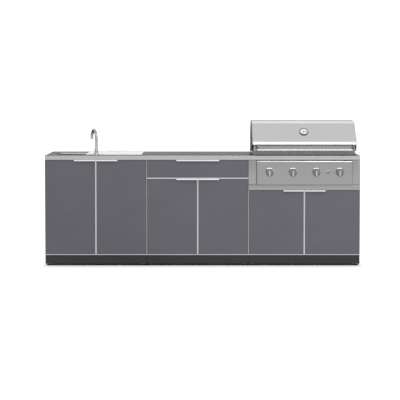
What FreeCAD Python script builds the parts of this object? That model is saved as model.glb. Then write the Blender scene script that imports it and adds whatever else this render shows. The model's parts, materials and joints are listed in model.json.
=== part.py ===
import FreeCAD, Part
import math
import os

# Outdoor kitchen island: a sink cabinet, a bar cabinet and a grill cabinet in one straight run.
# Millimetres, Z up, the doors face -Y. The origin is on the floor, under the middle of the island.

Vector = FreeCAD.Vector

# Cabinet run
cabinet_width = 812.8  # sink and bar cabinets
grill_cabinet_width = 889.0
deck_depth = 609.6
deck_height = 882.0  # floor to the top of the worktop
cabinet_gap = 0.3  # between neighbouring cabinets

# Worktops, folded from sheet
deck_fascia = 33.0
deck_sheet = 2.0
deck_edge_round = 4.0
deck_back_overhang = 10.0

# Base: levelling feet, plinth frame and floor panel
foot_lift = 15.0  # floor to the underside of the plinth
foot_pad_radius = 23.0
foot_pad_height = 9.0
foot_pad_sides = 12
foot_neck_radius = 9.0
foot_inset = 30.0  # from the cabinet's edges to the foot's axis
plinth_height = 72.0
plinth_wall = 15.0
plinth_setback = 12.0  # behind the doors' faces
plinth_pad_thickness = 6.0
floor_panel_height = 5.0
floor_panel_sheet = 3.0
waste_hole_radius = 40.0  # service holes, straight under what is fitted from below
supply_hole_radius = 24.0
gas_hole_radius = 30.0

# Carcass: pan-shaped sides and backs, folded rails
side_thickness = 20.0
side_skin = 2.0
side_border = 26.0
stiffener_height = 70.0  # the band of a side that carries the drawer slides
back_thickness = 15.0
rail_sheet = 2.5
rail_top_flange = 14.0
rail_rear_flange = 30.0

# Doors and their pivots
door_thickness = 20.0
door_setback = 6.0  # behind the worktop's edge
door_to_carcass = 4.0
door_inset = 3.0  # from the cabinet's edges
door_meeting_gap = 4.0
door_bottom_gap = 2.0
door_top_gap = 3.0
door_corner_round = 5.0
door_back_recess = 3.0
door_back_border = 34.0
pivot_radius = 4.0
pivot_length = 16.0
running_clearance = 0.05
pivot_end_gap = 0.3  # the lower pin's end carries the door

# Pulls: a folded strip over the top edge of a door or drawer front
pull_sheet = 2.0
pull_reach = 16.0
pull_lip = 9.0
pull_seat = 14.0  # how far it laps over the top edge
pull_round = 1.7
sink_door_pull = 171.0
bar_door_pull = 168.0
grill_door_pull = 165.0
drawer_pull_length = 342.0

# Drawer of the bar cabinet
divider_thickness = 6.0
divider_depth = 60.0
drawer_front_height = 138.0
drawer_box_height = 96.0
drawer_box_depth = 480.0
drawer_box_wall = 12.0
drawer_box_floor = 4.0
drawer_box_lift = 14.0  # above the drawer front's lower edge
slide_length = 450.0
slide_height = 45.0
slide_sheet = 2.0
slide_play = 0.3
slide_side_space = 13.0  # between the cabinet's side and the drawer box
slide_front_gap = 3.0
slide_core_height = 26.0

# Sink: basin, draining recess and cover board, measured from the cabinet's left and front edges
recess_left = 74.0
recess_width = 238.0
recess_front = 130.0
recess_length = 290.0
recess_depth = 10.0
recess_round = 18.0
drain_slot_radius = 5.0
drain_slot_pitch = 16.6
drain_slot_count = 3
drain_slot_edge = 14.0
basin_left = 330.0
basin_width = 428.0
basin_front = 104.0
basin_length = 310.0
basin_depth = 180.0
basin_wall = 2.0
basin_round = 28.0
basin_low_edge = 16.0
basin_rim = 12.0
waste_radius = 38.0
waste_flange = 10.0
waste_cup_depth = 26.0
waste_wall = 2.0
tailpiece_radius = 19.05
tailpiece_length = 90.0
strainer_play = 2.0
strainer_slot_width = 5.0
strainer_slot_count = 8
strainer_knob_radius = 6.0
board_lap = 10.0
board_thickness = 8.0
board_round = 3.0
grip_length = 225.0
grip_height = 13.0
grip_width = 16.0
grip_chamfer = 19.0
grip_from_back = 8.0
grip_right = 26.0  # of the board's middle

# Faucet
faucet_from_front = 66.0
faucet_base_radius = 20.0
faucet_base_height = 26.0
faucet_neck_radius = 15.0
faucet_body_height = 50.0
faucet_shank_radius = 11.0
faucet_shank_length = 42.0
faucet_shank_play = 0.3
faucet_nut_radius = 17.0
faucet_nut_height = 9.0
faucet_spigot_radius = 8.0
faucet_spigot_length = 18.0
spout_radius = 12.0
spout_sides = 16
spout_bend_steps = 12
spout_bend_radius = 62.0
spout_top = 208.0  # worktop to the top of the bend
spout_yaw = 21.0  # turned left from straight back
aerator_radius = 13.0
aerator_length = 9.0
aerator_bore = 8.5
spout_seat_gap = 0.3
lever_height = 36.0
lever_play = 0.3
lever_cap = 1.0  # thickness of the hub's closed end
lever_spindle_radius = 5.0
lever_spindle_length = 12.0
lever_hub_radius = 8.5
lever_length = 58.0
lever_tip_half = 3.5
lever_root_half = 5.0

# Grill cabinet front
panel_width = 758.0
panel_height = 191.5
panel_top_gap = 6.0  # dark joint under the worktop's edge
panel_proud = 14.0  # in front of the worktop's edge
panel_depth = 26.0
panel_sheet = 2.0
panel_top_round = 11.0
panel_fit = 0.5
frame_rail_height = 44.0
frame_setback = 1.0
frame_top_gap = 3.0  # between the pillars and the worktop's edge

# Grill body
firebox_above_deck = 36.0
firebox_rear_lip = 4.0
firebox_front = 14.0  # behind the worktop's edge
firebox_length = 500.0
firebox_below_deck = 230.0
firebox_sheet = 3.0
firebox_throat = 86.0  # how far the lower front wall stands back
firebox_throat_top = 14.0
firebox_throat_bottom = 70.0
firebox_flange = 7.0
firebox_flange_sheet = 2.0
firebox_side_gap = 3.0  # to the hood's end caps
firebox_drop_width = 560.0
firebox_drop_length = 300.0
cutout_play = 1.0
ledge_width = 13.0
ledge_sheet = 4.0
burner_pitch = 186.0
burner_count = 4
burner_below_deck = 134.0
burner_radius = 13.0
burner_bore = 11.0
burner_mouth = 30.0
burner_hole_play = 0.3
burner_front_reach = 26.0  # in front of the lower front wall
burner_rear_gap = 1.0
burner_sides = 8
port_count = 9
port_width = 3.0
port_length = 18.0
port_depth = 4.0
tamer_width = 130.0
tamer_height = 40.0
tamer_sheet = 2.0
tamer_foot = 12.0
tamer_below_deck = 90.0
tamer_end_gap = 1.0
grate_count = 4
grate_bar_count = 9
grate_bar_width = 7.0
grate_bar_height = 9.0
grate_rail_width = 9.0
grate_gap = 2.0
grate_below_deck = 8.0
rack_height = 95.0  # above the worktop
rack_front = 330.0
rack_length = 120.0
rack_wire = 4.0
rack_rail = 8.0
rack_bar_count = 15

# Gas train
manifold_half = 10.0
manifold_from_front = 54.0
manifold_drop = 30.0  # below the valves' axis
manifold_overhang = 60.0
manifold_strap = 30.0
manifold_strap_sheet = 3.0
inlet_length = 118.0
inlet_thread_radius = 10.5
inlet_thread_length = 25.0
valve_radius = 14.0
valve_front = 10.0  # behind the worktop's edge
valve_length = 62.0
valve_jet_radius = 6.0
valve_jet_length = 14.0
plunger_half = 6.0
plunger_in_valve = 22.0
plunger_bore_spare = 1.0

# Knobs, bezels, igniter and gauge
round_sides = 28
knob_reach = 38.0  # control panel's face to the front of the grip
knob_back_gap = 5.0
knob_radius = 29.0
knob_front_radius = 27.5
knob_disc = 11.0
knob_grip_width = 12.0
knob_grip_length = 52.0
knob_grip_chamfer = 2.0
knob_shaft_radius = 4.0
knob_shaft_length = 24.0
bezel_radius = 39.0
bezel_bore = 31.0
bezel_height = 7.0
bezel_land = 2.0  # width of a bezel's flat front
panel_hole_play = 2.0
igniter_radius = 11.0
igniter_proud = 9.0
igniter_bezel_radius = 16.0
igniter_bezel_height = 4.0
igniter_flange = 2.0
igniter_flange_back = 5.0

# Hood, side view in distances behind the worktop's edge and above the worktop
hood_width = 830.0
hood_cap_thickness = 8.0
hood_sheet = 3.0
hood_seat_gap = 0.3
hood_front = 14.0
hood_nose_low = 87.0
hood_nose_high = 108.0
hood_nose_reach = 10.0
hood_nose_round = 4.0
hood_brow_back = 150.0
hood_brow_height = 252.0
hood_top_front = 205.0
hood_top_height = 272.0
hood_top_back = 380.0
hood_shoulder_back = 470.0
hood_shoulder_height = 225.0
hood_rear = 510.0
hood_rear_bottom = 42.0
hood_brow_round = 40.0
hinge_back = 495.0
hinge_height = 22.0
hinge_pin_radius = 6.0
hinge_pin_in_cap = 7.0
hinge_ear_radius = 13.0
hinge_lug_radius = 15.0
cap_bolt_radius = 6.0
cap_bolt_height = 5.0
cap_bolt_back = 60.0
cap_bolt_heights = (68.0, 132.0)
handle_radius = 9.5
handle_half_length = 379.0
handle_forward = 28.0
handle_height = 47.0
bracket_width = 18.0
bracket_root_height = 26.0
bracket_root_low = 58.0
bracket_slant = 28.0
bracket_tip_height = 17.0
gauge_radius = 36.0
gauge_height = 9.0
gauge_rim = 4.0
gauge_rim_height = 3.0
gauge_up_face = 0.54  # place on the face, from the nose to the brow

# Grease tray under the firebox
tray_width = 598.0
tray_length = 395.0
tray_height = 26.0
tray_sheet = 2.0
tray_front_gap = 8.0  # behind the lower front wall
tray_side_play = 0.5
tray_top_gap = 4.0
tray_runner_sheet = 3.0
tray_runner_foot = 10.0
tray_lip = 14.0
window_margin = 30.0

# Places that follow from the sizes above
island_width = 2 * cabinet_width + grill_cabinet_width
front_reach = panel_proud + knob_reach
front = front_reach / 2 - deck_depth / 2  # the worktop's front edge
back = front + deck_depth
door_face = front + door_setback
pivot_y = door_face + door_thickness / 2
carcass_front = door_face + door_thickness + door_to_carcass
carcass_back = back - deck_back_overhang
plinth_top = foot_lift + plinth_height
floor_top = plinth_top + floor_panel_height
door_bottom = floor_top + door_bottom_gap
fascia_bottom = deck_height - deck_fascia
deck_underside = deck_height - deck_sheet
door_top = fascia_bottom - door_top_gap
drawer_bottom = door_top - drawer_front_height
divider_top = drawer_bottom - door_top_gap
divider_bottom = divider_top - divider_thickness
bar_door_top = divider_bottom - door_top_gap
panel_bottom = fascia_bottom - panel_top_gap - panel_height
frame_bottom = panel_bottom - panel_fit - frame_rail_height
grill_door_top = frame_bottom - door_top_gap
sink_left = -island_width / 2
bar_left = sink_left + cabinet_width
grill_left = bar_left + cabinet_width
grill_right = grill_left + grill_cabinet_width
grill_centre = (grill_left + grill_right) / 2
valve_height = deck_height - burner_below_deck
panel_face = front - panel_proud
firebox_half = hood_width / 2 - hood_cap_thickness - firebox_side_gap
burner_places = [
    grill_centre + burner_pitch * (n - (burner_count - 1) / 2) for n in range(burner_count)
]
igniter_x = grill_centre + burner_pitch  # midway between the third and fourth knobs
tray_top = deck_height - firebox_below_deck - tray_top_gap
tray_bottom = tray_top - tray_height
faucet_at = Vector((sink_left + bar_left) / 2, front + faucet_from_front, deck_height)
basin_bottom = deck_underside - basin_depth
waste_at = Vector(
    sink_left + basin_left + basin_width / 2, front + basin_front + basin_length / 2, basin_bottom
)
manifold_at = Vector(
    burner_places[-1] + manifold_overhang - manifold_half, front + manifold_from_front,
    valve_height - manifold_drop,
)
service_holes = (
    (waste_at, waste_hole_radius), (faucet_at, supply_hole_radius), (manifold_at, gas_hole_radius)
)

# The drawer box hangs between its slides, which are on the bar cabinet's sides
slide_wall_x = bar_left + cabinet_gap / 2 + side_thickness
drawer_box_x0 = slide_wall_x + slide_side_space
drawer_box_x1 = bar_left + grill_left - drawer_box_x0
drawer_box_y0 = door_face + door_thickness
slide_y0 = carcass_front + slide_front_gap
slide_middle = drawer_bottom + drawer_box_lift + drawer_box_height / 2


def block(x0, x1, y0, y1, z0, z1):
    return Part.makeBox(x1 - x0, y1 - y0, z1 - z0, Vector(x0, y0, z0))


def rod(radius, start, end):
    along = end - start
    return Part.makeCylinder(radius, along.Length, start, along)


def prism(sides, radius, start, end):
    """A rod with flat sides, like a bolt head; radius is from its axis to a flat."""
    along = end - start
    corner = radius / math.cos(math.pi / sides)
    angles = [2 * math.pi * (n + 0.5) / sides for n in range(sides)]
    corners = [Vector(corner * math.cos(a), corner * math.sin(a), 0) for a in angles]
    solid = Part.Face(Part.makePolygon(corners + corners[:1])).extrude(Vector(0, 0, along.Length))
    solid.Placement = FreeCAD.Placement(start, FreeCAD.Rotation(Vector(0, 0, 1), along))
    return solid


def tapered(sides, first, last, start, end):
    """A many-sided round body whose radius changes steadily from start to end."""
    along = end - start
    turn = FreeCAD.Rotation(Vector(0, 0, 1), along)
    rings = []
    for radius, height in ((first, 0), (last, along.Length)):
        angles = [2 * math.pi * n / sides for n in range(sides)]
        ring = [Vector(radius * math.cos(a), radius * math.sin(a), height) for a in angles]
        rings.append(Part.makePolygon([start + turn.multVec(p) for p in ring + ring[:1]]))
    return Part.makeLoft(rings, True, True)


def flat_sided(rings):
    """A solid through rings of points, with a flat face between each two neighbouring pairs."""
    outlines = [rings[0], rings[-1]]
    for first, second in zip(rings, rings[1:]):
        for n in range(len(first)):
            outlines.append([first[n - 1], first[n], second[n], second[n - 1]])
    faces = [Part.Face(Part.makePolygon(points + points[:1])) for points in outlines]
    return Part.makeSolid(Part.makeShell(faces))


def along_x(outline, x0, x1):
    """Extrudes a closed outline of (y, z) points from x0 to x1."""
    corners = [Vector(x0, y, z) for y, z in outline]
    wire = Part.makePolygon(corners + corners[:1])
    return Part.Face(wire).extrude(Vector(x1 - x0, 0, 0))


def turned(outline, centre, axis):
    """Revolves (radius, height) points around an axis through centre; heights run along the axis."""
    corners = [Vector(r, 0, h) for r, h in outline]
    face = Part.Face(Part.makePolygon(corners + corners[:1]))
    solid = face.revolve(Vector(0, 0, 0), Vector(0, 0, 1), 360)
    solid.Placement = FreeCAD.Placement(centre, FreeCAD.Rotation(Vector(0, 0, 1), axis))
    return solid


def round_edges(solid, radius, wanted):
    """Rounds the edges whose midpoint passes the wanted test."""
    edges = [e for e in solid.Edges if wanted(e.CenterOfMass)]
    return solid.makeFillet(radius, edges)


def near(a, b):
    return abs(a - b) < 0.01


def chamfer_edges(solid, width, wanted):
    edges = [e for e in solid.Edges if wanted(e.CenterOfMass)]
    return solid.makeChamfer(width, edges)


def upright_rounded(x0, x1, y0, y1, z0, z1, radius):
    """A block with its four upright edges rounded."""
    solid = block(x0, x1, y0, y1, z0, z1)
    return round_edges(solid, radius, lambda p: near(p.z, (z0 + z1) / 2))


def fuse(first, others):
    solid = first.multiFuse(others).removeSplitter()
    return solid.Solids[0] if len(solid.Solids) == 1 else solid


def save(node, shape):
    solids = shape if isinstance(shape, list) else [shape]
    shape = solids[0] if len(solids) == 1 else Part.makeCompound(solids)
    if not shape.isValid():
        raise ValueError("bad shape: " + node)
    shape.exportStep("parts/" + node + ".step")


# Each cabinet's name, edges, and the height of its doors' top edges
cabinets = {
    "sink": (sink_left, bar_left, door_top),
    "bar": (bar_left, grill_left, bar_door_top),
    "grill": (grill_left, grill_right, grill_door_top),
}


def worktop(x0, x1):
    """A pan of sheet, open below, with its outer edges rounded."""
    x0 += cabinet_gap / 2
    x1 -= cabinet_gap / 2
    pan = block(x0, x1, front, back, fascia_bottom, deck_height)
    pan = round_edges(pan, deck_edge_round, lambda p: near(p.z, deck_height) and near(p.y, front))
    t = deck_sheet
    return pan.cut(block(x0 + t, x1 - t, front + t, back - t, fascia_bottom - t, deck_underside))


def recess_block(grow, top):
    """The space of the draining recess, grown all round by a sheet's thickness when asked."""
    x0 = sink_left + recess_left - grow
    y0 = front + recess_front - grow
    bottom = deck_height - recess_depth - grow
    size = recess_width + 2 * grow, recess_length + 2 * grow
    solid = block(x0, x0 + size[0], y0, y0 + size[1], bottom, top)
    low = bottom
    solid = round_edges(solid, recess_round, lambda p: near(p.z, (low + top) / 2))
    return chamfer_edges(solid, recess_depth / 2, lambda p: near(p.z, low))


def basin_block(grow, bottom, top, low_edge):
    x0 = sink_left + basin_left - grow
    y0 = front + basin_front - grow
    x1 = x0 + basin_width + 2 * grow
    y1 = y0 + basin_length + 2 * grow
    solid = upright_rounded(x0, x1, y0, y1, bottom, top, basin_round + grow)
    return chamfer_edges(solid, low_edge, lambda p: near(p.z, bottom)) if low_edge else solid


def sink_deck():
    pan = worktop(sink_left, bar_left)
    pan = fuse(pan, [recess_block(deck_sheet, deck_underside)])
    pan = pan.cut(recess_block(0, deck_height + deck_sheet))
    slot_x = sink_left + recess_left + recess_width - drain_slot_edge
    for n in range(drain_slot_count):
        x = slot_x - drain_slot_pitch * n
        y = front + recess_front + recess_length / 2
        low = Vector(x, y, deck_height - recess_depth - 2 * deck_sheet)
        pan = pan.cut(rod(drain_slot_radius, low, low + Vector(0, 0, 3 * deck_sheet)))
    pan = pan.cut(basin_block(0, deck_underside - deck_sheet, deck_height + deck_sheet, 0))
    shank = faucet_shank_radius + faucet_shank_play
    hole = rod(shank, faucet_at - Vector(0, 0, 2 * deck_sheet), faucet_at + Vector(0, 0, deck_sheet))
    return pan.cut(hole)


def grill_deck():
    pan = worktop(grill_left, grill_right)
    half = firebox_half + cutout_play
    y0 = front + firebox_front - cutout_play
    y1 = y0 + firebox_length + 2 * cutout_play
    low = deck_underside - deck_sheet
    return pan.cut(block(grill_centre - half, grill_centre + half, y0, y1, low, deck_height + deck_sheet))


def side_panel(x0, facing):
    """A pan with its hollow towards the inside of the cabinet; facing is +1 on a left side."""
    x1 = x0 + side_thickness
    panel = block(x0, x1, carcass_front, carcass_back, floor_top, fascia_bottom)
    skin = side_skin * facing
    hollow_x = sorted((x0 + skin, x1 + skin))
    y0, y1 = carcass_front + side_border, carcass_back - side_border
    half = stiffener_height / 2
    spans = (
        (floor_top + side_border, slide_middle - half),
        (slide_middle + half, fascia_bottom - side_border / 2),
    )
    for z0, z1 in spans:
        panel = panel.cut(block(hollow_x[0], hollow_x[1], y0, y1, z0, z1))
    return panel


def cabinet_sides(name):
    x0, x1, _ = cabinets[name]
    half_gap = cabinet_gap / 2
    return [side_panel(x0 + half_gap, 1), side_panel(x1 - half_gap - side_thickness, -1)]


def floor_panel(x0, x1):
    """A shallow pan, open below, whose front edge is flush with the doors."""
    x0 += cabinet_gap / 2
    x1 -= cabinet_gap / 2
    pan = block(x0, x1, door_face, carcass_back, plinth_top, floor_top)
    t = floor_panel_sheet
    hollow = block(
        x0 + plinth_wall, x1 - plinth_wall, carcass_front, carcass_back - plinth_wall,
        plinth_top - t, floor_top - t,
    )
    pan = pan.cut(hollow)
    for place, radius in service_holes:
        if x0 < place.x < x1:
            foot = Vector(place.x, place.y, plinth_top)
            pan = pan.cut(prism(round_sides, radius, foot, foot + Vector(0, 0, 2 * floor_panel_height)))
    return pan


def back_panel(name):
    x0, x1, _ = cabinets[name]
    inset = cabinet_gap / 2 + side_thickness
    x0 += inset
    x1 -= inset
    panel = block(x0, x1, carcass_back - back_thickness, carcass_back, floor_top, fascia_bottom)
    if name == "grill":
        half = tray_width / 2 + window_margin
        low = tray_bottom - window_margin
        window = block(
            grill_centre - half, grill_centre + half, carcass_back - 2 * back_thickness,
            carcass_back + back_thickness, low, fascia_bottom - side_border,
        )
        return panel.cut(window)
    y1 = carcass_back - side_skin
    y0 = carcass_back - 2 * back_thickness
    border = side_border
    hollow = block(x0 + border, x1 - border, y0, y1, floor_top + border, fascia_bottom - border)
    return panel.cut(hollow)


def front_rail(x0, x1):
    """A Z-section: its lower flange reaches over the doors, its upper flange carries the worktop."""
    inset = cabinet_gap / 2 + deck_sheet
    t = rail_sheet
    web = carcass_front
    outline = [
        (front + deck_sheet, fascia_bottom),
        (web + t, fascia_bottom),
        (web + t, deck_underside - t),
        (web + rail_top_flange, deck_underside - t),
        (web + rail_top_flange, deck_underside),
        (web, deck_underside),
        (web, fascia_bottom + t),
        (front + deck_sheet, fascia_bottom + t),
    ]
    return along_x(outline, x0 + inset, x1 - inset)


def back_rail(x0, x1):
    """A channel lying on the cabinet's back edge, open to the front."""
    inset = cabinet_gap / 2 + deck_sheet
    t = rail_sheet
    y0 = carcass_back - rail_rear_flange
    outline = [
        (y0, fascia_bottom),
        (carcass_back, fascia_bottom),
        (carcass_back, deck_underside),
        (y0, deck_underside),
        (y0, deck_underside - t),
        (carcass_back - t, deck_underside - t),
        (carcass_back - t, fascia_bottom + t),
        (y0, fascia_bottom + t),
    ]
    return along_x(outline, x0 + inset, x1 - inset)


def divider_rail():
    """The strip between the drawer and the doors below it."""
    half_gap = cabinet_gap / 2
    x0, x1 = bar_left + half_gap, grill_left - half_gap
    strip = block(x0, x1, door_face, carcass_front, divider_bottom, divider_top)
    inset = half_gap + side_thickness
    shelf = block(
        bar_left + inset, grill_left - inset, carcass_front, carcass_front + divider_depth,
        divider_bottom, divider_top,
    )
    return fuse(strip, [shelf])


def foot_places(name):
    x0, x1, _ = cabinets[name]
    y0 = door_face + plinth_setback + foot_inset
    y1 = carcass_back - foot_inset
    return [Vector(x, y, 0) for x in (x0 + foot_inset, x1 - foot_inset) for y in (y0, y1)]


def plinth(name):
    """Two long boards, two end boards and a plate in each corner for a foot."""
    x0, x1, _ = cabinets[name]
    x0 += cabinet_gap / 2
    x1 -= cabinet_gap / 2
    y0 = door_face + plinth_setback
    y1 = carcass_back
    wall = plinth_wall
    pieces = [block(x0, x1, y, y + wall, foot_lift, plinth_top) for y in (y0, y1 - wall)]
    for x in (x0, x1 - wall):
        pieces.append(block(x, x + wall, y0 + wall, y1 - wall, foot_lift, plinth_top))
    plate = 2 * foot_inset - wall
    plate_top = foot_lift + plinth_pad_thickness
    for x in (x0 + wall, x1 - wall - plate):
        for y in (y0 + wall, y1 - wall - plate):
            pieces.append(block(x, x + plate, y, y + plate, foot_lift, plate_top))
    return pieces


def levelling_foot(place):
    """A round pad under a hexagonal screw neck that is seated in the plinth's corner plate."""
    pad_top = place + Vector(0, 0, foot_pad_height)
    pad = prism(foot_pad_sides, foot_pad_radius, place, pad_top)
    return fuse(pad, [prism(6, foot_neck_radius, pad_top, place + Vector(0, 0, foot_lift))])


def door_span(name, side):
    """Left and right edges of a door; side is 0 for the left one and 1 for the right one."""
    x0, x1, _ = cabinets[name]
    middle = (x0 + x1) / 2
    if side == 0:
        return x0 + door_inset, middle - door_meeting_gap / 2
    return middle + door_meeting_gap / 2, x1 - door_inset


def pivot_x(name, side):
    x0, x1 = door_span(name, side)
    return x0 + door_thickness / 2 if side == 0 else x1 - door_thickness / 2


def lower_pivot(name, side):
    seat = Vector(pivot_x(name, side), pivot_y, floor_top)
    return rod(pivot_radius, seat, seat + Vector(0, 0, door_bottom_gap + pivot_length))


def upper_pivot(name, side):
    seat = Vector(pivot_x(name, side), pivot_y, cabinets[name][2] + door_top_gap)
    return rod(pivot_radius, seat, seat - Vector(0, 0, door_top_gap + pivot_length))


def door(name, side):
    x0, x1 = door_span(name, side)
    top = cabinets[name][2]
    y0, y1 = door_face, door_face + door_thickness
    panel = upright_rounded(x0, x1, y0, y1, door_bottom, top, door_corner_round)
    border = door_back_border
    inner = block(
        x0 + border, x1 - border, y1 - door_back_recess, y1 + door_back_recess,
        door_bottom + border, top - border,
    )
    panel = panel.cut(inner)
    bore = pivot_radius + running_clearance
    depth = pivot_length + pivot_end_gap
    x = pivot_x(name, side)
    for z, way in ((door_bottom, 1), (top, -1)):
        mouth = Vector(x, pivot_y, z)
        panel = panel.cut(rod(bore, mouth, mouth + Vector(0, 0, way * depth)))
    return panel


def pull(x0, x1, top):
    """A strip that laps over the top edge and turns down in front as a finger lip."""
    t = pull_sheet
    tip = door_face - pull_reach
    outline = [
        (tip, top + t),
        (tip, top + t - pull_lip),
        (tip + t, top + t - pull_lip),
        (tip + t, top),
        (door_face + pull_seat, top),
        (door_face + pull_seat, top + t),
    ]
    strip = along_x(outline, x0, x1)
    return round_edges(strip, pull_round, lambda p: near(p.y, tip) and near(p.z, top + t))


def door_pull(name, side, length):
    x0, x1 = door_span(name, side)
    if side == 0:
        return pull(x1 - length, x1, cabinets[name][2])
    return pull(x0, x0 + length, cabinets[name][2])


def drawer_front():
    x0, x1 = bar_left + door_inset, grill_left - door_inset
    y0, y1 = door_face, door_face + door_thickness
    return upright_rounded(x0, x1, y0, y1, drawer_bottom, door_top, door_corner_round)


def mirrored_in_bar(solid):
    """The same solid on the other side of the bar cabinet."""
    return solid.mirror(Vector((bar_left + grill_left) / 2, 0, 0), Vector(1, 0, 0))


def channel(x0, x1, height):
    """A slide member's channel, open towards the drawer box."""
    z0, z1 = slide_middle - height / 2, slide_middle + height / 2
    t = slide_sheet
    bar = block(x0, x1, slide_y0, slide_y0 + slide_length, z0, z1)
    hollow = block(x0 + t, x1 + t, slide_y0 - t, slide_y0 + slide_length + t, z0 + t, z1 - t)
    return bar.cut(hollow)


def fixed_slides():
    left = channel(slide_wall_x, drawer_box_x0 - slide_sheet, slide_height)
    return [left, mirrored_in_bar(left)]


def middle_slides():
    lost = slide_sheet + slide_play
    left = channel(slide_wall_x + lost, drawer_box_x0 - slide_play, slide_height - 2 * lost)
    return [left, mirrored_in_bar(left)]


def drawer_box():
    """Four walls and a floor, open above, with the inner member of each slide on its side."""
    z0 = drawer_bottom + drawer_box_lift
    z1 = z0 + drawer_box_height
    y0, y1 = drawer_box_y0, drawer_box_y0 + drawer_box_depth
    wall = drawer_box_wall
    x0, x1 = drawer_box_x0, drawer_box_x1
    box = block(x0, x1, y0, y1, z0, z1)
    box = box.cut(block(x0 + wall, x1 - wall, y0 + wall, y1 - wall, z0 + drawer_box_floor, 2 * z1))
    core_x = slide_wall_x + 2 * (slide_sheet + slide_play)
    half = slide_core_height / 2
    core = block(core_x, x0, slide_y0, slide_y0 + slide_length, slide_middle - half, slide_middle + half)
    return fuse(box, [core, mirrored_in_bar(core)])


def sink_bowl():
    """A pressed basin whose rim lies under the worktop's cut-out."""
    rim_bottom = deck_underside - basin_wall
    outer = basin_block(basin_wall, basin_bottom - basin_wall, deck_underside, basin_low_edge)
    rim = basin_block(basin_rim, rim_bottom, deck_underside, 0)
    bowl = fuse(outer, [rim])
    bowl = bowl.cut(basin_block(0, basin_bottom, deck_height, basin_low_edge))
    below = waste_at - Vector(0, 0, 2 * basin_wall)
    return bowl.cut(rod(waste_radius, below, waste_at + Vector(0, 0, basin_wall)))


def sink_drain():
    """The waste: a flange on the basin's floor, a cup for the strainer and a tailpiece."""
    t = waste_wall
    flange = waste_radius + waste_flange
    cup = waste_radius - t
    low = -basin_wall - waste_cup_depth
    pipe = tailpiece_radius
    end = low - tailpiece_length
    outline = [
        (flange, 0),
        (flange, t),
        (cup, t),
        (cup, low + t),
        (pipe - t, low + t),
        (pipe - t, end),
        (pipe, end),
        (pipe, low),
        (waste_radius, low),
        (waste_radius, 0),
    ]
    return turned(outline, waste_at, Vector(0, 0, 1))


def sink_strainer():
    """A lift-out basket with slots in its floor and a centre post."""
    t = waste_wall
    rim = waste_radius + waste_flange / 2
    cup = waste_radius - t - strainer_play
    low = t - waste_cup_depth
    knob = strainer_knob_radius
    outline = [
        (0, low), (cup, low), (cup, t), (rim, t), (rim, 3 * t / 2), (cup - t, 3 * t / 2),
        (cup - t, low + t), (knob, low + t), (knob, t + knob), (0, t + knob),
    ]
    basket = turned(outline, waste_at, Vector(0, 0, 1))
    half = strainer_slot_width / 2
    for n in range(strainer_slot_count):
        slot = block(knob + t, cup - 2 * t, -half, half, low - t, low + 2 * t)
        turn = FreeCAD.Rotation(Vector(0, 0, 1), 360 * n / strainer_slot_count)
        slot.Placement = FreeCAD.Placement(waste_at, turn)
        basket = basket.cut(slot)
    return basket


def sink_board():
    """The lift-off cover board with a raised grip along its back edge."""
    x0 = sink_left + basin_left - board_lap
    x1 = sink_left + basin_left + basin_width + board_lap
    y0 = front + basin_front - board_lap
    y1 = front + basin_front + basin_length + board_lap
    z0, z1 = deck_height, deck_height + board_thickness
    slab = block(x0, x1, y0, y1, z0, z1)
    slab = round_edges(slab, board_round, lambda p: near(p.z, z1))
    middle = (x0 + x1) / 2 + grip_right
    half = grip_length / 2
    top = z1 + grip_height
    corners = [(-half, z1 - board_round), (-half, z1), (grip_chamfer - half, top)]
    corners += [(-x, z) for x, z in reversed(corners)]
    gy = y1 - grip_from_back - grip_width
    wire = Part.makePolygon([Vector(middle + x, gy, z) for x, z in corners + corners[:1]])
    grip = Part.Face(wire).extrude(Vector(0, grip_width, 0))
    return fuse(slab, [grip])


def faucet_body():
    """Bell base, neck, a spigot for the spout, a shank through the worktop and its nut."""
    top = faucet_body_height
    outline = [
        (0, -faucet_shank_length),
        (faucet_shank_radius, -faucet_shank_length),
        (faucet_shank_radius, 0),
        (faucet_base_radius, 0),
        (faucet_neck_radius, faucet_base_height),
        (faucet_neck_radius, top),
        (faucet_spigot_radius, top),
        (faucet_spigot_radius, top + faucet_spigot_length),
        (0, top + faucet_spigot_length),
    ]
    body = turned(outline, faucet_at, Vector(0, 0, 1))
    nut_top = faucet_at - Vector(0, 0, deck_sheet)
    nut = prism(6, faucet_nut_radius, nut_top, nut_top - Vector(0, 0, faucet_nut_height))
    root = faucet_at + Vector(0, 0, lever_height)
    reach = faucet_neck_radius + lever_spindle_length - lever_cap
    return fuse(body, [nut, rod(lever_spindle_radius, root, root + Vector(0, reach, 0))])


def faucet_spout():
    """An upright tube with a half-round bend and an aerator, turned back over the basin."""
    low = faucet_body_height + spout_seat_gap
    bend_height = spout_top - spout_radius - spout_bend_radius
    centre = Vector(0, spout_bend_radius, bend_height)
    ring = [2 * math.pi * (n + 0.5) / spout_sides for n in range(spout_sides)]
    ring = [Vector(math.cos(a), math.sin(a), 0) * spout_radius for a in ring]
    rings = [[p + Vector(0, 0, low) for p in ring]]
    for step in range(spout_bend_steps + 1):
        turn = FreeCAD.Rotation(Vector(-1, 0, 0), 180 * step / spout_bend_steps)
        rings.append([centre + turn.multVec(p - Vector(0, spout_bend_radius, 0)) for p in ring])
    tip = Vector(0, 2 * spout_bend_radius, bend_height)
    end = tip - Vector(0, 0, aerator_length)
    spout = fuse(flat_sided(rings), [prism(spout_sides, aerator_radius, tip, end)])
    spout = spout.cut(rod(aerator_bore, end, end + Vector(0, 0, aerator_length)))
    bore = faucet_spigot_radius + running_clearance
    floor = Vector(0, 0, low)
    depth = faucet_spigot_length + spout_seat_gap
    spout = spout.cut(rod(bore, floor, floor + Vector(0, 0, depth)))
    spout.Placement = FreeCAD.Placement(faucet_at, FreeCAD.Rotation(Vector(0, 0, 1), spout_yaw))
    return spout


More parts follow.
